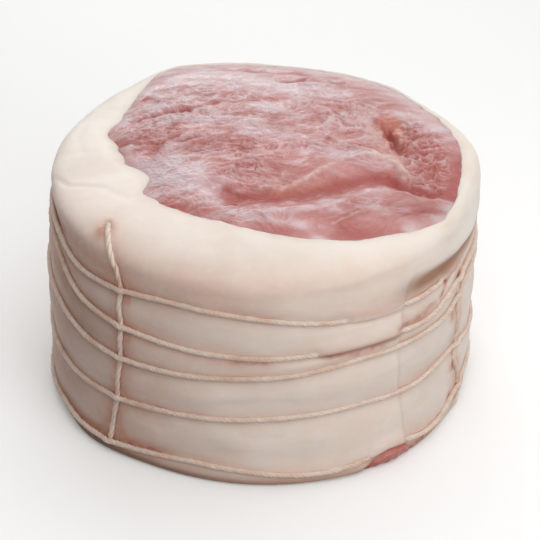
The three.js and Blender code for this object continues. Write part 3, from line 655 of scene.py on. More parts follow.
def dress_fat():
    azimuth = fat_columns()
    points, under, side_end, shoulder_end = fat_base(azimuth)
    rows = points.shape[1]
    row = np.arange(rows)[None, :]
    az = np.repeat(azimuth[:, None], rows, 1)
    x, y, z = np.moveaxis(points, -1, 0)
    on_side = (row >= under) & (row < side_end)
    on_top = (row >= side_end) & (row < shoulder_end)
    fade_edge = 1 - smooth(row, shoulder_end - 3, shoulder_end)
    shown = (on_side | on_top) * smooth(z - lift_at(az), 0.3, 1.6) * fade_edge

    # the rings, the deep fold with the fat above it hanging over, the creases and the lobe
    side_push, ring_far = ring_grooves(az, z)
    fold, depth = fold_at(az, z)
    side_push += depth * (0.16 * bell(fold - 2.4, 1.7) - 0.42 * bell(fold + 0.5, 1.2)
                          - 0.22 * bell(fold + 2.2, 2.0))
    for route, width, deep in unrolled(SIDE_CREASES):
        side_push -= deep * stroke(route, np.radians(az) * SIDE_RADIUS, z, width)
    top_push = 0.55 * lobe_at(x, y) * fade_edge
    for route, width, deep in TOP_CREASES:
        top_push -= deep * stroke(route, x, y, width)
    push = (unevenness(az, z) + 0.04 * lumps(x / 2.6, y / 2.6, z / 1.6, 14)) * shown
    push += on_side * side_push + on_top * top_push
    normals = grid_normals(points)
    shaped = points + normals * push[..., None]

    # the trenches of the uprights, with a low bank at each side
    away, above = near_upright(shaped, azimuth)
    trench = (above + 0.15) * (1 - smooth(away, 0.45, 1.00))
    trench *= (away < 1.3) & (row >= under) & (row < shoulder_end - 4)
    bank = 0.05 * bell(away - 1.7, 0.6) * shown
    shaped = shaped + normals * (bank - np.maximum(trench, 0))[..., None]

    stain = fat_stains_and_shade(az, points, shaped, away, ring_far, on_top, row >= side_end)
    hidden = (row < under - 4) | (row >= shoulder_end + len(LIP))
    for key, value in stain.items():
        stain[key] = np.where(hidden, 0.15, np.clip(value, 0, 1))
    return make_mesh("fat_sheet", shaped.reshape(-1, 3), [grid_faces(len(azimuth), rows)],
                     **stain)


# The meat

FACE_CELLS = 262
UNDERSIDE_ROWS = 10
LEVEL = 0.03  # the meat stands clear of the floor by this much
# Where meat squeezes out under the sheet, low at the right front, and its form from the
# floor up: how far out, and the height as a share.
BULGE_AZIMUTH, BULGE_WIDTH, BULGE_HEIGHT = -55.5, 8.5, 3.6
BULGE = [(0.3, 0), (1, 0.1), (1.5, 0.25), (1.75, 0.42), (1.7, 0.6), (1.5, 0.76), (1.2, 0.9),
         (0.7, 1), (-0.4, 1.06)]
# How full the face is near its edge: on the whole, how much more towards an azimuth.
FULLNESS = (0.75, 0.65, 100)
# Length, width and seed of the bundles, the fibres in them and the finest ones.
FIBRES = [(4.6, 2.7, 43), (2.1, 1.2, 44), (1.1, 0.66, 45)]

# Routes that more than one list uses: the rim of a fold, a forked seam, the seam at the right
# of the trough, and the deep split with the place that is torn open in it.
FOLD_RIM = [(10.1, 6.4), (12.9, 3.6), (16.1, -0.2), (18.1, -1.6), (21.6, -3.5), (24, -5.1)]
FORKED_SEAM = [(19.3, 19.9), (22.2, 18.1), (24, 15.7), (25.2, 18.5), (27.8, 19.9)]
RIGHT_SEAM = [(27.4, -17.6), (29.8, -18.6), (31.8, -20.2), (34.5, -19.2), (38, -20)]
SPLIT = [(25.7, 9.6), (26.5, 5.6), (27.1, 1.8), (28, -3.8)]
CAVITY = [(26.6, 10.6), (27.4, 6.6), (27.7, 3), (27.3, -1)]
TORN = [(31.6, 6), (32.4, 0), (33.4, -6), (33.4, -13.5)]  # the grainy place beside the split
# The face of the cut: routes in X and Y, half-width, height. Broad forms first.
SWELLS = [
    ([(-20, 9), (-8, 10), (2, 8)], 5, 0.35),
    ([(-18, -9), (-13, -14), (-9, -20)], 3.2, 0.45),
    ([(-6, 24), (10, 26)], 8, 0.4),
    ([(-2, -6), (8, -10), (16, -7)], 4.5, 0.5),
    ([(-9.8, -17.8), (-5.8, -21.2), (-1, -21.2), (3.8, -21.2), (8.7, -20.2), (13.6, -17.4),
      (18.6, -15), (22.4, -13), (26, -13.6), (30.4, -16.6)], 2.5, -1),
    ([(-2.2, -26.2), (3.8, -26.6), (8.6, -25.8), (13.5, -24.2), (17.4, -21.4), (20.9, -19),
      (24.5, -17.2), (28.1, -18), (31.6, -20), (37, -20.6)], 1.6, 0.5),
    ([(26.8, 11), (27.8, 6.6), (28.2, 3)], 2.8, -1.5),
    ([(25.7, 9.6), (26.5, 5.6), (27.1, 1.8), (28, -3.2)], 1.15, -2.5),
    ([(-22.6, -1.6), (-21.5, 0.2), (-20.2, 1.2)], 1.3, -0.6),
    ([(-25, 22.6), (-23.4, 21.4), (-21.4, 19.2)], 1.5, -0.8),
    ([(-26.8, 12.5), (-22.7, 13.9), (-19, 14.5), (-15.4, 14.8)], 1.1, -0.6),
    ([(-7.7, 36.2), (-1.4, 35.3), (4.1, 34.6), (11.4, 33.6)], 1.5, -0.5),
    ([(-20.9, -21.8), (-17.4, -23), (-14, -24)], 1.5, -0.5),
    ([(-2.4, -32.4), (1.7, -33.3), (6.4, -32.9)], 1.5, -0.45),
    ([(13.7, -34.3), (17, -36.6), (23, -35.2)], 1.8, -0.4),
    ([(37.6, 4), (38.8, -5.6), (38.8, -14.9)], 2, -0.5),
]
RIDGES = [
    (FOLD_RIM, 0.5, 0.32),
    ([(19.5, -5), (23, -5.6), (25.8, -6.2), (27.8, -9.3), (29.5, -13.5)], 1.1, 0.55),
    (FORKED_SEAM, 0.5, 0.45),
    ([(23.9, 15.5), (23.7, 12), (23.9, 8.5)], 0.5, 0.4),
    ([(13.7, -29.8), (17.1, -26.9), (20.1, -24.6), (23, -22.8)], 0.3, 0.45),
    (RIGHT_SEAM, 0.45, 0.45),
    ([(8, -28.2), (12.4, -25.3), (16.3, -22.7), (20, -20.9)], 0.3, 0.3),
    ([(-1, -17.9), (3.8, -18.4), (7.5, -16.4), (11.3, -12.2), (13.8, -10.2)], 0.55, 0.32),
    ([(-1, -17.6), (2, -18.3), (5, -18.1)], 0.3, 0.2),
    ([(-21.5, -3.5), (-18.4, -0.8), (-14.9, -0.2), (-11.6, 0.8), (-7.3, 2.5), (-2.2, 1.9)],
      0.6, 0.5),
    ([(-21, 11.2), (-17.3, 10.7), (-10, 9.5), (-4.8, 9.5), (0.4, 7.3), (6, 6.8)], 0.7, 0.3),
    ([(30.4, 6.6), (32.2, 1.2), (31.4, -4.9), (33.1, -11.5)], 0.4, 0.4),
    ([(29, -1.2), (29.7, 1.4), (29.6, 4.4)], 0.35, 0.4),
    ([(-15.4, -26), (-13.8, -25), (-11.6, -24.3), (-7.3, -24.1), (-5, -23.6)], 0.5, 0.35),
]
CREASES = [
    ([(-26.8, 12.2), (-25, 13), (-22.7, 13.3), (-19.1, 13.9), (-15.7, 15.1), (-14.3, 12.6)],
      0.35, -0.5),
    ([(-18.6, 15.5), (-15.4, 15.7), (-11.3, 17.2), (-7.6, 19)], 0.6, -0.4),
    ([(-31.4, 4.1), (-27.9, 3.8), (-24, 2.6), (-21, 2), (-16, 1.9), (-10.8, 2.6)], 0.5, -0.4),
    ([(3.5, 28.6), (5.7, 28.2), (8.1, 28.6), (10.4, 31)], 0.4, -0.5),
    ([(14.3, 29.8), (16.7, 28.6), (18.7, 30.4)], 0.6, -0.4),
    ([(17.1, -0.6), (20.2, -1.8), (23.1, -3.4), (25.3, -4.6)], 0.4, -0.4),
    ([(10.9, 4.6), (12.6, 2.4), (14.6, -0.7)], 0.35, -0.3),
    ([(-15.6, -25.2), (-14, -24), (-11.6, -23.2), (-7.3, -23), (-4, -22.7)], 0.3, -0.45),
    ([(-11.1, -14), (-8.9, -15.9), (-6.4, -18.2), (-3.9, -20)], 0.8, -0.2),
    ([(26.6, -24.4), (31.5, -23), (36.9, -22)], 0.4, -0.4),
    ([(25.6, -13.4), (28.6, -15.4), (31.2, -17.2), (34.2, -18)], 0.5, -0.55),
    ([(26, 11.6), (28.4, 12.6), (31.8, 11.2)], 0.4, -0.3),
    ([(-24.6, 24), (-18.7, 25.2), (-12.2, 26.3)], 0.5, -0.3),
]
# Steps in the face, where one bundle of muscle stands over the next: route, reach, drop.
LEDGES = [
    ([(-5.9, -19.4), (-1, -17.6), (3.8, -18.9), (7.5, -16.4), (11.3, -12.1), (13.8, -10.3),
      (17.7, -11.9), (21.2, -12.7), (24.9, -11.5), (27.3, -13.4), (30.7, -17.4)], 2.6, 0.2),
    ([(23.6, 13.6), (24.2, 9.7), (24.6, 6.4), (25.4, 1.9), (26.1, -1.3), (26.8, -4.6)], 2.2, 1.3),
    ([(-21.5, -3.5), (-18.4, -0.8), (-14.9, -0.2), (-11.6, 0.8), (-7.3, 2.5)], 1.8, 0.4),
]
# Places where the cut fibres pucker: middle X and Y, half-length, half-width, direction in
# degrees, strength.
PUCKERS = [(-2.6, -11.4, 5, 3.4, -52, 1), (0.6, -2.8, 5.6, 4.2, -50, 1),
           (-7, 12, 12, 4.5, -12, 0.8), (7, 11.5, 9, 4.5, 10, 0.7), (-20, 13, 8, 6, -22, 0.9),
           (16.5, 11, 5.5, 7, -62, 1.2), (-20, -8, 7, 5, -30, 0.5), (12, -1, 5, 3, -38, 0.6),
           (-14, 3, 8, 3, 8, 0.6), (-12, 24, 8, 4, 14, 0.5), (12, 27, 7, 4, -16, 0.5),
           (-10, -22, 6, 3, 12, 0.4), (34, 8, 4, 6, 60, 0.5)]
# Whitish film over the face, with painted sheen in it, and redder places, with painted shade in
# the hollows: routes in X and Y, half-width, strength.
FILM_AND_SHEEN = [
    ([(-26.7, -6.4), (-22.2, -6.6), (-17.1, -7), (-12.9, -11.9), (-10.3, -16.9), (-7.8, -21.9)],
      2.6, 0.9),
    ([(-21.9, -11.5), (-17.8, -13.3), (-14.2, -15.9)], 2.6, 0.6),
    ([(-2.2, -25.6), (3.8, -25.9), (8.6, -25), (13.5, -23.7), (17.4, -20.9), (20.9, -18.4),
      (24.5, -17.4), (26.4, -17.8)], 1.3, 0.6),
    ([(7.4, -26.8), (12.2, -25.8), (16.4, -24.2), (20.7, -22.6), (24.3, -22.9)], 1, 0.3),
    ([(-4, 4.5), (1, 3.4), (6, 2)], 3, 0.3),
    ([(6.2, -28.7), (9, -32.5), (12, -35.7), (15.9, -37.6)], 1.7, 0.7),
    ([(-6.7, -25.3), (-3.1, -26.6), (0.5, -28.9), (5.2, -31.1)], 1.4, 0.5),
    ([(-10.6, 31.6), (-3.8, 29.8), (1.6, 27.3), (8.3, 25.5), (16, 25)], 4, 0.6),
    ([(-24, 27), (-10, 33), (8, 38), (24, 32), (34, 18)], 3, 0.4),
    ([(-21, 11.4), (-17.3, 10.9), (-10, 9.7), (-4.8, 9.7), (0.4, 7.5)], 1.8, 0.55),
    ([(-1, 17.2), (1.1, 16), (3.5, 14.3)], 1.7, 0.65),
    ([(27.6, 15.5), (31.4, 13.1), (34.6, 9.7), (36.9, 6.4)], 3.2, 0.6),
    ([(27, -30), (31, -28), (35, -25), (39, -20)], 2.8, 0.75),
    ([(11, -5), (16, -5.5), (21, -5.5), (25.5, -7)], 2.3, 0.55),
    ([(16, 10), (20, 9), (24, 10)], 3, 0.35),
    ([(-24, 16.6), (-20, 17.4), (-16, 19.4)], 1.6, 0.4),
]
DEEP_RED_AND_SHADE = [
    ([(-9.8, -17.6), (-5.8, -20.9), (-1, -20.9), (3.8, -21), (8.7, -20), (13.6, -17.1),
      (18.6, -14.9), (22.4, -12.8), (26, -13.2), (30.4, -16.4)], 2.1, 0.95),
    ([(25.6, -13.4), (28.6, -15.4), (31.2, -17.2), (34.6, -18)], 0.7, 0.6),
    ([(-11.1, -14.4), (-8.9, -16.4), (-6.4, -18.9)], 1.3, 0.5),
    ([(-22.6, -1.4), (-21.5, 0.3), (-20.3, 1.4)], 1.2, 0.45),
    ([(-25.3, 23.1), (-23.7, 21.9), (-21.4, 19.5)], 1.5, 0.7),
    ([(-31.4, 4.5), (-27.9, 5.8), (-24, 5.2), (-20.1, 4.1), (-14, 3.4)], 2.2, 0.5),
    ([(-26.8, 12.3), (-22.7, 13.7), (-19.1, 14.5), (-15.4, 15.2), (-11.3, 17.2), (-6.6, 19.2)],
      1.2, 0.6),
    ([(-14, -1.6), (-7, -0.5), (-1, -3)], 2.4, 0.35),
    ([(2, -8), (9, -11.5), (1, -13.5)], 3, 0.35),
    (SPLIT, 1.5, 1),
    ([(30.5, 2), (32.5, -3), (34, -9), (35, -15), (33, -20)], 3.4, 0.45),
    ([(39.8, -4.6), (40, -9.8), (39, -14.9), (37.9, -19.4)], 2, 1),
    ([(-7.7, 36), (-1.4, 35.1), (4.1, 34.4), (8.2, 33.4), (11.4, 33.5)], 1.2, 0.7),
    ([(14.3, 29.8), (16.7, 28.8), (18.7, 30.4)], 1.2, 0.5),
    ([(3.5, 28.6), (8.1, 28.7), (10.4, 31)], 0.6, 0.6),
    ([(-22, -19.8), (-17.4, -22.6), (-14, -23.8)], 2.4, 0.9),
    ([(-14.4, -26.2), (-10.3, -27.3), (-5.7, -30)], 1.3, 0.4),
    ([(-2.4, -32.3), (1.7, -33.2), (6.4, -32.8)], 1.5, 0.6),
    ([(13.7, -31), (17.5, -32.6), (21, -31.6), (24, -30.2)], 3, 0.9),
    ([(15, -28.5), (20, -25.5)], 1.6, 0.3),
    ([(26.6, -24.8), (31.5, -23.4), (36.9, -22.4)], 1.1, 0.6),
    ([(17.1, -0.6), (20.2, -1.6), (23.1, -3.2), (25.3, -4.8)], 0.6, 0.4),
    ([(21.5, 19.5), (24.2, 21.3), (26, 20.1)], 0.9, 0.6),
]
# Places that are smooth and wet: routes in X and Y, half-width, how smooth.
CALM = [
    ([(-9.8, -17.6), (-5.8, -20.9), (-1, -20.9), (3.8, -21), (8.7, -20), (13.6, -17.1),
      (18.6, -14.9), (22.4, -12.8), (26, -13.2), (29.4, -15.8)], 2.4, 1),
    ([(-2.2, -25.6), (8.6, -25), (17.4, -20.9), (24.5, -18), (31.6, -20.4)], 1.4, 0.8),
    ([(6, -34), (16, -34), (26, -30), (33, -24)], 4, 0.8),
    ([(26.6, 10.6), (27.6, 5), (27.6, 0)], 2.8, 1),
    ([(4, -7), (14, -10)], 4, 0.6),
    ([(-26.7, -5.5), (-17.1, -7.5), (-12.9, -11.9), (-10.3, -16.9)], 4, 0.75),
    ([(-25, 30), (-8, 32), (10, 33), (24, 26), (33, 14)], 6, 0.9),
]
# Where the thin meat over a hollow shows orange, and cream seams, in the same way.
ORANGE = [([(0.5, -19.6), (5, -19.2), (9, -17.2), (13, -14.4)], 1.3, 0.45)]
TENDON = [
    (FOLD_RIM, 0.45, 0.6),
    ([(21, -5.2), (25.8, -5.8), (27.8, -9.3), (29.5, -13.5)], 1.2, 1),
    ([(23, 9.4), (23.8, 4.9), (24.8, 0.6), (25.8, -3)], 1.1, 0.7),
    (FORKED_SEAM, 0.55, 0.8),
    ([(22.9, 15.5), (22.9, 12)], 0.6, 0.5),
    ([(13.7, -29.7), (17.1, -26.8), (20.1, -24.5), (23, -22.7)], 0.28, 0.8),
    (RIGHT_SEAM, 0.4, 0.5),
    ([(-1, -17.9), (3.8, -18.5), (7.5, -16.5), (11.3, -12.3), (13.8, -10.3)], 0.4, 1),
    ([(14.5, -26.2), (18.5, -23.9), (25, -22.4), (31, -23.2)], 0.25, 0.4),
]


def fibre_way(x, y):
    """Where a place lies along and across the fibres, which wander and fan out."""
    slant = 0.62 * (x - 14) * smooth(-y, 19, 27) * smooth(x, -2, 12)
    across = y - slant + 0.35 * (x - 26) * smooth(x, 26, 33)
    across = across + 4.0 * lumps(x / 13, y / 11, 0, 31) + 0.9 * lumps(x / 5, y / 4, 3, 32)
    return x + 1.6 * lumps(x / 8, y / 8, 7, 33), across


def strands(way, length, width, seed):
    """Sharp crests with round valleys between them, 0 to 1, of this length and width."""
    wave = lumps(way[0] / length, way[1] / width, seed * 1.3, seed)
    return 1 - np.minimum(np.abs(wave) * 2.4, 1)


def granular(x, y):
    """The torn, grainy place to the right of the deep split."""
    away, split = far_from(TORN, x, y)[0], far_from(CAVITY, x, y)[0]
    return (1 - smooth(away, 3.4, 6.0)) * smooth(split, 1.5, 2.8)


def face_relief(x, y):
    """Height of the face over its plain form, and how far a place is up a fibre's crest."""
    wob_x, wob_y = (0.55 * lumps(x / 2.6, y / 2.6, z, seed) for z, seed in ((5, 34), (9, 35)))
    bent = (x + wob_x, y + wob_y)
    relief = strokes(SWELLS, *bent) + strokes(RIDGES + CREASES, *bent)
    for route, reach, drop in LEDGES:
        away, side, _ = far_from(route, *bent)
        step = stroke(route, *bent, reach, (0.0, 0.12, 0.88, 1.0))
        relief += 0.5 * drop * np.tanh(away * side / 0.4) * step
    way, torn = fibre_way(x, y), granular(x, y)
    rough = 0.25 + 0.4 * smooth(lumps(x / 7, y / 5, 2, 36), -0.15, 0.5)
    bundles, fibres, fine = (strands(way, *size) for size in FIBRES)
    calm = 1 - 0.85 * np.minimum(strokes(CALM, x, y), 1)
    relief += 0.30 * lumps(x / 9, y / 7, 1, 41) + 0.16 * lumps(x / 4, y / 3, 2, 42)
    relief += 0.24 * calm * (bundles - 0.5)
    relief += rough * calm * (1 - torn) * (0.44 * (fibres - 0.5) + 0.28 * (fine - 0.5))
    crest = (0.35 * bundles + 0.6 * rough * fibres + 0.4 * rough * fine) * calm
    for number, (mid_x, mid_y, long, wide, direction, strength) in enumerate(PUCKERS):
        dx, dy = x - mid_x, y - mid_y
        inside = strength * bell(np.hypot(dx / long, dy / wide), 1.0) * (1 - torn)
        dx, dy = dx + 2.2 * wob_x, dy + 2.2 * wob_y
        cos, sin = math.cos(math.radians(direction)), math.sin(math.radians(direction))
        folds = strands((dx * cos + dy * sin, dy * cos - dx * sin), 3.4, 0.95, 80 + number)
        relief += 0.62 * inside * (folds - 0.5)
        crest += 0.8 * inside * (folds - crest)
    torn_way = (x + 2.4 * wob_x, y + 2.4 * wob_y)
    flecks, grains = strands(torn_way, 1.6, 1.1, 46), strands(torn_way, 1.0, 0.7, 47)
    relief += torn * (0.6 * (flecks - 0.5) + 0.3 * (grains - 0.5))
    crest += torn * (0.8 * flecks - crest)
    return relief, crest


def face_height(azimuth, share, relief):
    mean, more, towards = FULLNESS
    fullness = mean + more * np.cos(np.radians(azimuth - towards))
    edge, inside = meat_edge_height(azimuth) - 0.3, 1 - share**10
    return MEAT_CROWN + (edge - MEAT_CROWN + fullness * inside) * share**2 + relief * inside


def face_disc():
    """A square net of points drawn out to a disc, and the places of its rim in turn."""
    line = np.linspace(-1, 1, FACE_CELLS + 1)
    u, v = np.meshgrid(line, line, indexing="ij")
    number = np.arange(u.size).reshape(u.shape)
    rim = np.concatenate([number[:-1, 0], number[-1, :-1], number[:0:-1, -1], number[0, :0:-1]])
    quads = np.stack([number[:-1, :-1], number[1:, :-1], number[1:, 1:], number[:-1, 1:]], -1)
    return u * np.sqrt(1 - v * v / 2), v * np.sqrt(1 - u * u / 2), rim, quads.reshape(-1, 4)


def meat_wall(azimuth):
    """The underside and the hidden side, in rings from the middle of the bottom up."""
    edge, top, low = meat_edge(azimuth), meat_edge_height(azimuth), side_radius(azimuth, 0)
    foot = inner_radius(azimuth) + 0.15
    away = np.abs(turn(BULGE_AZIMUTH, azimuth)) / BULGE_WIDTH
    opened = np.maximum(1 - away**2, 0) ** 0.7
    reach = low - 1.2 + (foot + 1.2 - low) * smooth(away, 1.0, 1.35)
    height = 0.15 + BULGE_HEIGHT * opened * (1 + 0.25 * lumps(azimuth / 2.5, 0, 0, 71))
    rows = [(foot * part, LEVEL) for part in np.linspace(0, 0.97, UNDERSIDE_ROWS)[1:]]
    for outward, up in BULGE:
        uneven = 1 + 0.3 * lumps(azimuth / 2, up * 2, 0, 72)
        rows.append((reach + outward * opened * uneven, LEVEL + height * up))
    rows += [(foot, height + 0.2), (foot - 0.3, top - 14),
             (edge + (foot - edge) * 0.3 - 0.3, top - 4), (edge + 0.15, top - 1.4)]
    return turned(azimuth, rows)


def meat_stains_sheen_and_shade(points, on_face, on_wall, raised, crests):
    """Film with painted sheen, wet hollows that are partly painted shade, the amber of the deep
    split and cream seams, by place and relief.
    """
    x, y, z = points.T
    broad, patches = half_lumps(x / 7, y / 5, 8, 51), lumps(x / 5, y / 2.6, 4, 52)
    split = far_from(CAVITY, x, y)[0]
    # The film is partly real film and partly painted sheen: paler towards the back and the left,
    # less pale at the front.
    film = (0.24 + 0.30 * patches + 0.10 * broad + 0.22 * smooth(y, 5, 35)
            + 0.16 * smooth(-x, 0, 18) - 0.18 * smooth(-y, 22, 33)
            + 0.10 * bell(np.hypot(x - 2, y - 9), 9)
            + np.where(on_face, strokes(FILM_AND_SHEEN, x, y) * (0.55 + 0.6 * broad), 0.15)
            - 0.7 * on_face * bell(split, 2.2))
    # Deep red is partly painted shade: redder where the relief is low and between the torn grains.
    deep = 0.10 + 0.28 * smooth(-raised, 0.1, 1.1) - 0.2 * patches
    deep += on_face * (strokes(DEEP_RED_AND_SHADE, x, y) * (0.7 + 0.4 * broad)
                       + 0.35 * granular(x, y) * (0.7 - crests))
    wet = np.minimum(strokes([(SPLIT, 1.4, 1.0)], x, y), 1)
    amber = on_face * (bell(split - 0.8, 1.8) * (1 - wet) + strokes(ORANGE, x, y))
    ragged = 0.55 + 0.6 * smooth(lumps(x / 1.6, y / 1.6, 3, 53), -0.3, 0.3)
    wob = 0.4 * lumps(x / 2.6, y / 2.6, 5, 34)
    cream = on_face * strokes(TENDON, x + wob, y + wob) * ragged
    low = smooth(z, 0.6, 2.0)
    specks = smooth(lumps(x / 0.9, y / 0.9, z / 0.8, 73), 0.0, 0.5)
    # On the hidden wall and the meat squeezed out at the foot, deep red is painted shade, darkest
    # at the bottom.
    for value, inside in ((film, 0.7 * low * specks), (deep, 1 - 0.15 * low),
                          (amber, 0.6 * low), (cream, 0 * low)):
        value[on_wall] = inside[on_wall]
    stain = {"film": film, "deep": deep, "amber": amber, "cream": cream, "crest": crests}
    stain = {key: np.clip(value, 0, 1) for key, value in stain.items()}
    return {**stain, "fibre_way": np.stack([*fibre_way(x, y), z], -1)}


def dress_meat():
    across, back, rim, quads = face_disc()
    share = np.minimum(np.hypot(across, back), 1).ravel()
    az = np.degrees(np.arctan2(back, across)).ravel()
    x, y, _ = at(az, share * (meat_edge(az) + 0.12), 0.0).T
    relief, crest = face_relief(x, y)
    face = np.stack([x, y, face_height(az, share, relief)], -1)
    wall = meat_wall(az[rim])
    net, (count, height) = len(face), wall.shape[:2]
    number = net + np.arange(count * height).reshape(count, height)
    number = np.concatenate([number, rim[:, None]], 1)
    beside = np.roll(number, -1, 0)
    sides = np.stack([number[:, :-1], beside[:, :-1], beside[:, 1:], number[:, 1:]], -1)
    fan = np.stack([np.full(count, net + count * height), beside[:, 0], number[:, 0]], -1)
    points = np.concatenate([face, wall.reshape(-1, 3), [[0, 0, LEVEL]]])
    raised, crests = np.zeros(len(points)), np.full(len(points), 0.4)
    raised[:net], crests[:net] = relief, crest
    on_face, on_wall = np.arange(len(points)) < net, number[:, UNDERSIDE_ROWS - 1:-1].ravel()
    stain = meat_stains_sheen_and_shade(points, on_face, on_wall, raised, crests)
    return make_mesh("veal_round", points, [quads, sides.reshape(-1, 4), fan], **stain)


# Nodes

def srgb(code):
    """A linear colour from an sRGB hex value."""
    parts = [int(code[k:k + 2], 16) / 255 for k in (1, 3, 5)]
    return tuple(c / 12.92 if c <= 0.04045 else ((c + 0.055) / 1.055) ** 2.4 for c in parts) + (1,)


def add(tree, kind, settings=None, inputs=None):
    """A node with its settings, and its inputs set to values or linked to sockets."""
    made = tree.nodes.new(kind)
    for key, value in (settings or {}).items():
        setattr(made, key, value)
    for key, value in (inputs or {}).items():
        socket = made.inputs[key]
        if isinstance(value, bpy.types.NodeSocket):
            tree.links.new(value, socket)
        else:
            socket.default_value = value
    return made


def math_node(tree, operation, first, second=0.0, third=0.0, clamp=False):
    return add(tree, "ShaderNodeMath", {"operation": operation, "use_clamp": clamp},
               {0: first, 1: second, 2: third}).outputs[0]


def times(tree, first, second, clamp=False):
    return math_node(tree, "MULTIPLY", first, second, clamp=clamp)


def plus(tree, base, value, weight):
    """A value with so much of another added to it."""
    return math_node(tree, "MULTIPLY_ADD", value, weight, base)


def vector_node(tree, operation, first, second):
    return add(tree, "ShaderNodeVectorMath", {"operation": operation},
               {0: first, "Scale" if operation == "SCALE" else 1: second}).outputs[0]


def noise(tree, place, stretch, size, detail, roughness=0.5, warp=0.0):
    moved = add(tree, "ShaderNodeMapping", {}, {"Vector": place, "Scale": stretch}).outputs[0]
    return add(tree, "ShaderNodeTexNoise", {}, {
        "Vector": moved, "Scale": 1 / size, "Detail": detail, "Roughness": roughness,
        "Distortion": warp}).outputs["Fac"]


def stretched(tree, size, stretch=(1, 1, 1), detail=3):
    """Noise whose lumps are this many millimetres across."""
    place = add(tree, "ShaderNodeTexCoord").outputs["Object"]
    return noise(tree, place, stretch, size * MM, detail)


def along_fibres(tree, width, ratio, detail, roughness=0.55, warp=0.0):
    """Noise whose streaks follow the fibres: their width in millimetres, length over width."""
    way = named(tree, "fibre_way", "Vector")
    return noise(tree, way, (1 / ratio, 1, 1), width, detail, roughness, warp)


def ramp(tree, value, low, high):
    return add(tree, "ShaderNodeMapRange", {"interpolation_type": "SMOOTHSTEP"},
               {"Value": value, "From Min": low, "From Max": high}).outputs[0]


def spread(tree, value, low, high):
    return add(tree, "ShaderNodeMapRange", {},
               {"Value": value, "To Min": low, "To Max": high}).outputs[0]


def named(tree, key, part="Fac"):
    return add(tree, "ShaderNodeAttribute", {"attribute_name": key}).outputs[part]


def layered(tree, code, *layers):
    """A colour with others laid over it in turn, each to its own share."""
    colour = srgb(code)
    for share, code in layers:  # a Mix node takes colours at 6 and 7, and gives one at 2
        colour = add(tree, "ShaderNodeMix", {"data_type": "RGBA"},
                     {0: share, 6: colour, 7: srgb(code)}).outputs[2]
    return colour


def material(name):
    made = bpy.data.materials.new(name)
    made.use_nodes = True
    made.node_tree.nodes.clear()
    return made, made.node_tree


def surfaced(made, colour, roughness, inputs, height=None, strength=0, depth=0):
    """Ends a material: its surface, and a bump of this strength and depth in millimetres."""
    tree = made.node_tree
    inputs = {"Base Color": colour, "Roughness": roughness, **inputs}
    if height:
        inputs["Normal"] = add(tree, "ShaderNodeBump", {}, {
            "Strength": strength, "Distance": depth * MM, "Height": height}).outputs[0]
    skin = add(tree, "ShaderNodeBsdfPrincipled", {"subsurface_method": "RANDOM_WALK"}, inputs)
    add(tree, "ShaderNodeOutputMaterial", {}, {"Surface": skin.outputs[0]})
    return made


def fat_material():
    """Chilled veal fat: waxy cream white, faintly translucent, with a soft moist sheen."""
    made, tree = material("raw_veal_fat")
    clouds = stretched(tree, 11, (1, 1, 1.6))
    bands = stretched(tree, 5, (0.45, 0.45, 2.2))
    specks = stretched(tree, 1.6, (1, 1, 1.4))
    pores = stretched(tree, 1.4, (1, 1, 1.3))
    colour = layered(
        tree, "#efe7dd", (ramp(tree, clouds, 0.35, 0.68), "#eadfd3"),
        (times(tree, ramp(tree, bands, 0.5, 0.78), 0.25), "#e2c9b9"),
        (times(tree, named(tree, "chalk"), 0.2), "#faf5f0"),
        # the blush layer is partly pink juice stain, partly painted shade on the left side and
        # under ring 2
        (times(tree, named(tree, "blush"), ramp(tree, specks, -0.5, 0.6), True), "#cf9c88"),
        # the brown layer is partly browning, partly painted shade in the fold, at the seam and at
        # the left
        (named(tree, "brown"), "#9a6c50"), (named(tree, "blood"), "#a4483a"),
        # the darkest layer is painted shade under the rounded foot
        (times(tree, named(tree, "grime"), 0.8), "#594840"))
    return surfaced(made, colour, spread(tree, specks, 0.42, 0.6), {
        "IOR": 1.45, "Subsurface Weight": 0.45, "Subsurface Radius": (1.0, 0.62, 0.42),
        "Subsurface Scale": 2.2 * MM, "Coat Weight": 0.12, "Coat Roughness": 0.3},
        plus(tree, pores, bands, 1.5), 0.18, 0.2)


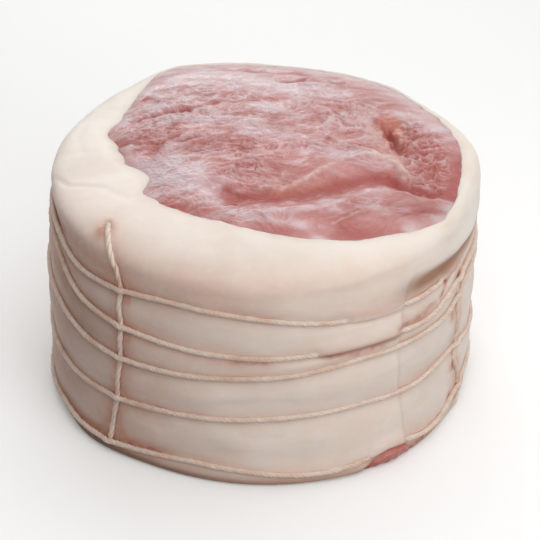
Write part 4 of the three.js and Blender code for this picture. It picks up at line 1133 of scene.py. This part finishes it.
def meat_material():
    """Raw veal cut across the grain: wet rose muscle under a thin pale film, cream seams, with
    painted sheen in the film, painted shade in the red hollows and painted highlights on the fibre
    crests.
    """
    made, tree = material("raw_veal_muscle")
    threads = along_fibres(tree, 1.6, 1.25, 4, 0.55, 0.2)
    fibres = along_fibres(tree, 0.7, 1.4, 4, 0.6, 0.2)
    grain = along_fibres(tree, 0.35, 1.6, 3, 0.6)
    clouds = along_fibres(tree, 5, 1.5, 3)
    # the deep attribute is partly painted shade in the hollows
    deep, crest = named(tree, "deep"), named(tree, "crest")
    # The pale film layer is partly painted sheen.
    pale_film_and_sheen = plus(tree, named(tree, "film"), ramp(tree, threads, 0.3, 0.7), 0.14)
    pale_film_and_sheen = plus(tree, plus(tree, pale_film_and_sheen, deep, -0.45), ramp(tree, crest, 0.5, 0.05), -0.28)
    # the pale tips of the fibre crests are a painted highlight
    painted_crest_highlight = times(tree, ramp(tree, crest, 0.5, 1.0), ramp(tree, fibres, 0.35, 0.65))
    colour = layered(
        tree, "#c4827d", (ramp(tree, clouds, 0.3, 0.7), "#cf9893"),
        (times(tree, ramp(tree, fibres, 0.55, 0.3), 0.3), "#a9605b"),
        (times(tree, deep, 0.85), "#a8463d"), (ramp(tree, pale_film_and_sheen, 0.0, 1.05), "#dbc3c7"),
        (times(tree, painted_crest_highlight, 0.65), "#e6c8bf"), (times(tree, named(tree, "cream"), 0.8), "#e0c4ba"),
        (times(tree, named(tree, "amber"), 0.85), "#cc806d"))
    return surfaced(made, colour, spread(tree, threads, 0.3, 0.5), {
        "IOR": 1.4, "Subsurface Weight": 0.45, "Subsurface Radius": (1.0, 0.36, 0.27),
        "Subsurface Scale": 0.8 * MM, "Coat Weight": 0.4, "Coat Roughness": 0.18},
        plus(tree, plus(tree, fibres, threads, 1.4), grain, 0.7), 0.8, 0.4)


def twine_material():
    """Unbleached cotton twine, laid from soft plies, damp and stained pink by the juice."""
    made, tree = material("cotton_butchers_twine")
    stain, dirt = stretched(tree, 7), stretched(tree, 1.2)
    place = add(tree, "ShaderNodeTexCoord").outputs["Object"]
    across = add(tree, "ShaderNodeSeparateXYZ", {}, {0: place}).outputs[0]
    juicy = plus(tree, ramp(tree, stain, 0.45, 0.75), ramp(tree, across, 20 * MM, -45 * MM), 0.2)
    colour = layered(tree, "#f6dac9", (ramp(tree, dirt, 0.3, 0.7), "#efcbb7"),
                     (times(tree, juicy, 0.6, True), "#dfab90"))
    on_strand = add(tree, "ShaderNodeCombineXYZ", {}, {
        0: times(tree, named(tree, "along"), 0.35 / MM),
        1: times(tree, named(tree, "around"), 9.0)}).outputs[0]
    return surfaced(made, colour, 0.8, {
        "IOR": 1.4, "Subsurface Weight": 0.5, "Subsurface Radius": (1.0, 0.7, 0.5),
        "Subsurface Scale": 0.8 * MM, "Sheen Weight": 0.2, "Sheen Roughness": 0.5},
        noise(tree, on_strand, (1, 1, 1), 1, 3), 0.6, 0.1)


def card_material():
    """White card with a faint grain, a little lit from within so that it stays white."""
    made, tree = material("white_card")
    colour = layered(tree, "#f2f2f1", (stretched(tree, 3, detail=2), "#f6f6f5"))
    return surfaced(made, colour, 0.9, {"Emission Color": srgb("#ffffff"),
                                        "Emission Strength": 0.12})


# Twine

# What the pieces of twine are laid from, by the names of the inputs of the laid_twine tree.
TWINE = {"Plies": 3, "Fibres": 2.5e5}
RING_TWINE = {**TWINE, "Ply radius": 0.40 * MM, "Lay radius": 0.15 * MM, "Turns": 96.0,
              "Wander": 0.25 * MM, "Fibre length": 0.45 * MM}
UPRIGHT_TWINE = {**TWINE, "Ply radius": 0.46 * MM, "Lay radius": 0.17 * MM,
                 "Wander": 0.15 * MM, "Fibre length": 0.5 * MM, "Seed": 20}
LAY_LENGTH = 7.0  # millimetres of an upright for one turn of its plies


def loose_fibres(tree, given, strand):
    """Short bent hairs of a few faces each, scattered over a strand."""
    bend = add(tree, "GeometryNodeCurveQuadraticBezier", {}, {
        "Resolution": 4, "Start": (0, 0, 0), "Middle": (0.1, 0, 0.55), "End": (0.7, 0.2, 0.7)})
    thin = add(tree, "GeometryNodeCurvePrimitiveCircle", {}, {"Resolution": 3, "Radius": 0.045})
    hair = add(tree, "GeometryNodeCurveToMesh", {}, {
        "Curve": bend.outputs[0], "Profile Curve": thin.outputs[0], "Fill Caps": True})
    spots = add(tree, "GeometryNodeDistributePointsOnFaces", {}, {
        "Mesh": strand, "Density": given["Fibres"], "Seed": given["Seed"]})
    sway = add(tree, "FunctionNodeRandomValue", {"data_type": "FLOAT_VECTOR"}, {
        "Min": (-0.5, -0.5, -3.1), "Max": (0.5, 0.5, 3.1), "Seed": given["Seed"]})
    turned_hair = add(tree, "FunctionNodeRotateRotation", {"rotation_space": "LOCAL"}, {
        "Rotation": spots.outputs["Rotation"], "Rotate By": sway.outputs[0]})
    size = add(tree, "FunctionNodeRandomValue", {"data_type": "FLOAT"}, {
        "Min": 0.5, "Max": 1.3, "Seed": given["Seed"]})
    return add(tree, "GeometryNodeInstanceOnPoints", {}, {
        "Points": spots.outputs[0], "Instance": hair.outputs[0],
        "Rotation": turned_hair.outputs[0],
        "Scale": times(tree, size.outputs[1], given["Fibre length"])})


def twine_tree(cotton):
    """Geometry Nodes: plies laid round a path, with loose fibres standing off them."""
    tree = bpy.data.node_groups.new("laid_twine", "GeometryNodeTree")
    tree.is_modifier = True
    tree.interface.new_socket("Geometry", in_out="INPUT", socket_type="NodeSocketGeometry")
    kinds = {"Plies": "Int", "Ply radius": "Float", "Lay radius": "Float", "Turns": "Float",
             "Wander": "Float", "Fibres": "Float", "Fibre length": "Float", "Seed": "Int"}
    sockets = {}
    for name, kind in kinds.items():
        made = tree.interface.new_socket(name, in_out="INPUT", socket_type="NodeSocket" + kind)
        sockets[name] = made.identifier
    tree.interface.new_socket("Geometry", in_out="OUTPUT", socket_type="NodeSocketGeometry")
    given = add(tree, "NodeGroupInput").outputs
    path = add(tree, "GeometryNodeMeshToCurve", {}, {"Mesh": given["Geometry"]})
    plies = add(tree, "GeometryNodeDuplicateElements", {"domain": "SPLINE"},
                {"Geometry": path.outputs[0], "Amount": given["Plies"]})
    ply = plies.outputs["Duplicate Index"]

    # each ply winds round the path, and wanders a little
    along = add(tree, "GeometryNodeSplineParameter").outputs
    first = math_node(tree, "DIVIDE", ply, given["Plies"])
    angle = times(tree, plus(tree, first, along["Factor"], given["Turns"]), 2 * math.pi)
    out = add(tree, "GeometryNodeInputNamedAttribute", {"data_type": "FLOAT_VECTOR"},
              {"Name": "outward"}).outputs[0]
    tangent = add(tree, "GeometryNodeInputTangent").outputs[0]
    sideways = vector_node(tree, "CROSS_PRODUCT", tangent, out)
    outwards, across = (
        vector_node(tree, "SCALE", way,
                    times(tree, given["Lay radius"], math_node(tree, wave, angle)))
        for way, wave in ((out, "COSINE"), (sideways, "SINE")))
    rough = add(tree, "ShaderNodeTexNoise", {"noise_dimensions": "4D"}, {
        "Vector": add(tree, "GeometryNodeInputPosition").outputs[0], "W": ply,
        "Scale": 1 / (2.4 * MM), "Detail": 1.0})
    centred = vector_node(tree, "SUBTRACT", rough.outputs["Color"], (0.5, 0.5, 0.5))
    drift = vector_node(tree, "SCALE", centred, given["Wander"])
    offset = vector_node(tree, "ADD", vector_node(tree, "ADD", outwards, across), drift)
    placed = add(tree, "GeometryNodeSetPosition", {},
                 {"Geometry": plies.outputs["Geometry"], "Offset": offset})
    ring = add(tree, "GeometryNodeCurvePrimitiveCircle", {}, {
        "Resolution": 8, "Radius": given["Ply radius"]})
    kept, marked = (
        add(tree, "GeometryNodeStoreNamedAttribute", {"data_type": "FLOAT"},
            {"Geometry": curve.outputs[0], "Name": name, "Value": along[part]}).outputs[0]
        for curve, name, part in ((placed, "along", "Length"), (ring, "around", "Factor")))
    swept = add(tree, "GeometryNodeCurveToMesh", {}, {
        "Curve": kept, "Profile Curve": marked, "Fill Caps": True})

    hairs = loose_fibres(tree, given, swept.outputs[0])
    joined = add(tree, "GeometryNodeJoinGeometry")
    for part in (swept, hairs):
        tree.links.new(part.outputs[0], joined.inputs[0])
    real = add(tree, "GeometryNodeRealizeInstances", {}, {0: joined.outputs[0]})
    soft = add(tree, "GeometryNodeSetShadeSmooth", {}, {0: real.outputs[0]})
    dyed = add(tree, "GeometryNodeSetMaterial", {}, {0: soft.outputs[0], "Material": cotton})
    add(tree, "NodeGroupOutput", {}, {0: dyed.outputs[0]})
    return tree, sockets


def lay_twine(name, points, outward, closed, tree, sockets, sizes):
    """A piece of twine along a path, made by the laid_twine tree and kept as a plain mesh."""
    count = len(points)
    mesh = bpy.data.meshes.new(name + "_path")
    edges = [(k, (k + 1) % count) for k in range(count if closed else count - 1)]
    mesh.from_pydata((points * MM).tolist(), edges, [])
    layer = mesh.attributes.new("outward", "FLOAT_VECTOR", "POINT")
    layer.data.foreach_set("vector", outward.astype(np.float32).ravel())
    holder = put(name + "_path", mesh)
    modifier = holder.modifiers.new("laid", "NODES")
    modifier.node_group = tree
    for key, value in sizes.items():
        modifier[sockets[key]] = value
    bpy.context.view_layer.update()
    evaluated = holder.evaluated_get(bpy.context.evaluated_depsgraph_get())
    made = bpy.data.meshes.new_from_object(evaluated)
    made.name = name
    bpy.data.objects.remove(holder)
    return put(name, made)


def settle(piece, look, slot, *nodes):
    if not piece.data.materials:
        piece.data.materials.append(look)
    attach(piece, "root")
    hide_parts(*nodes)


# Camera, light and floor

CAMERA_TARGET = (1.9, -4.8, 24.4)
CAMERA_TILT, CAMERA_DISTANCE, CAMERA_LENS, CAMERA_SENSOR = 31.6, 400, 127.9, 36
LAMP_TARGET = (0, 0, 25)
LAMPS = [  # name, place, width and height in millimetres, watts
    ("back_softbox", (130, 110, 420), (420, 320), 0.32),
    ("front_softbox", (60, -240, 380), (320, 320), 0.72),
    ("right_softbox", (300, -360, 150), (300, 300), 0.80),
    ("back_strip", (-80, 380, 240), (260, 50), 0.30),
]
ROOM_LIGHT, ROOM_LIGHT_BEHIND = 0.28, 0.72  # all round, and how much more from the back
FLOOR_REACH = 900


def add_camera():
    tilt = math.radians(CAMERA_TILT)
    data = bpy.data.cameras.new("camera")
    data.sensor_width, data.lens = CAMERA_SENSOR, CAMERA_LENS
    camera = put("camera", data)
    back = Vector((0, -math.cos(tilt), math.sin(tilt))) * CAMERA_DISTANCE
    camera.location = (Vector(CAMERA_TARGET) + back) * MM
    camera.rotation_euler = (math.pi / 2 - tilt, 0, 0)
    bpy.context.scene.camera = camera


def add_lamp(name, place, size, watts):
    data = bpy.data.lights.new(name, "AREA")
    data.shape = "RECTANGLE"
    data.size, data.size_y = (side * MM for side in size)
    data.energy = watts
    lamp = put(name, data)
    lamp.location = Vector(place) * MM
    aim = Vector(LAMP_TARGET) * MM - lamp.location
    lamp.rotation_euler = aim.to_track_quat("-Z", "Y").to_euler()


def add_studio():
    for lamp in LAMPS:
        add_lamp(*lamp)
    scene = bpy.context.scene
    scene.view_settings.view_transform = "Standard"
    scene.world = bpy.data.worlds.new("studio")
    scene.world.use_nodes = True
    tree = scene.world.node_tree
    way = add(tree, "ShaderNodeTexCoord").outputs["Generated"]
    towards_back = add(tree, "ShaderNodeSeparateXYZ", {}, {0: way}).outputs[1]
    behind = math_node(tree, "MAXIMUM", towards_back, 0.0)
    strength = math_node(tree, "MULTIPLY_ADD", behind, ROOM_LIGHT_BEHIND, ROOM_LIGHT)
    background = tree.nodes["Background"]
    background.inputs["Color"].default_value = srgb("#ffffff")
    tree.links.new(strength, background.inputs["Strength"])
    corners = np.array([(-1, -1, 0), (1, -1, 0), (1, 1, 0), (-1, 1, 0)]) * FLOOR_REACH
    floor = make_mesh("floor", corners, [np.array([[0, 1, 2, 3]])], False)
    floor.data.materials.append(card_material())
    floor.visible_diffuse = False  # a white floor would light the sides from below


# Putting it together

add_camera()
add_studio()
settle(dress_meat(), meat_material(), "meat", "veal")
settle(dress_fat(), fat_material(), "fat", "fat_wrap")

cotton = twine_material()
twine = twine_tree(cotton)
around = np.linspace(-180, 180, 900, endpoint=False)
for ring in range(len(RINGS)):
    middle = at(around, ring_radius(ring, around), ring_height(ring, around))
    number = len(RINGS) - ring
    strand = lay_twine(f"ring_{number}_of_twine", middle, at(around, 1.0, 0.0), True, *twine,
                       {**RING_TWINE, "Seed": number})
    settle(strand, cotton, "twine", f"twine_ring_{number}")
for name in UPRIGHTS:
    middle, outwards, length = upright_path(name)
    strand = lay_twine(f"{name}_upright_of_twine", middle, outwards, False, *twine,
                       {**UPRIGHT_TWINE, "Turns": float(round(length / LAY_LENGTH))})
    settle(strand, cotton, "twine", f"twine_upright_{name}")
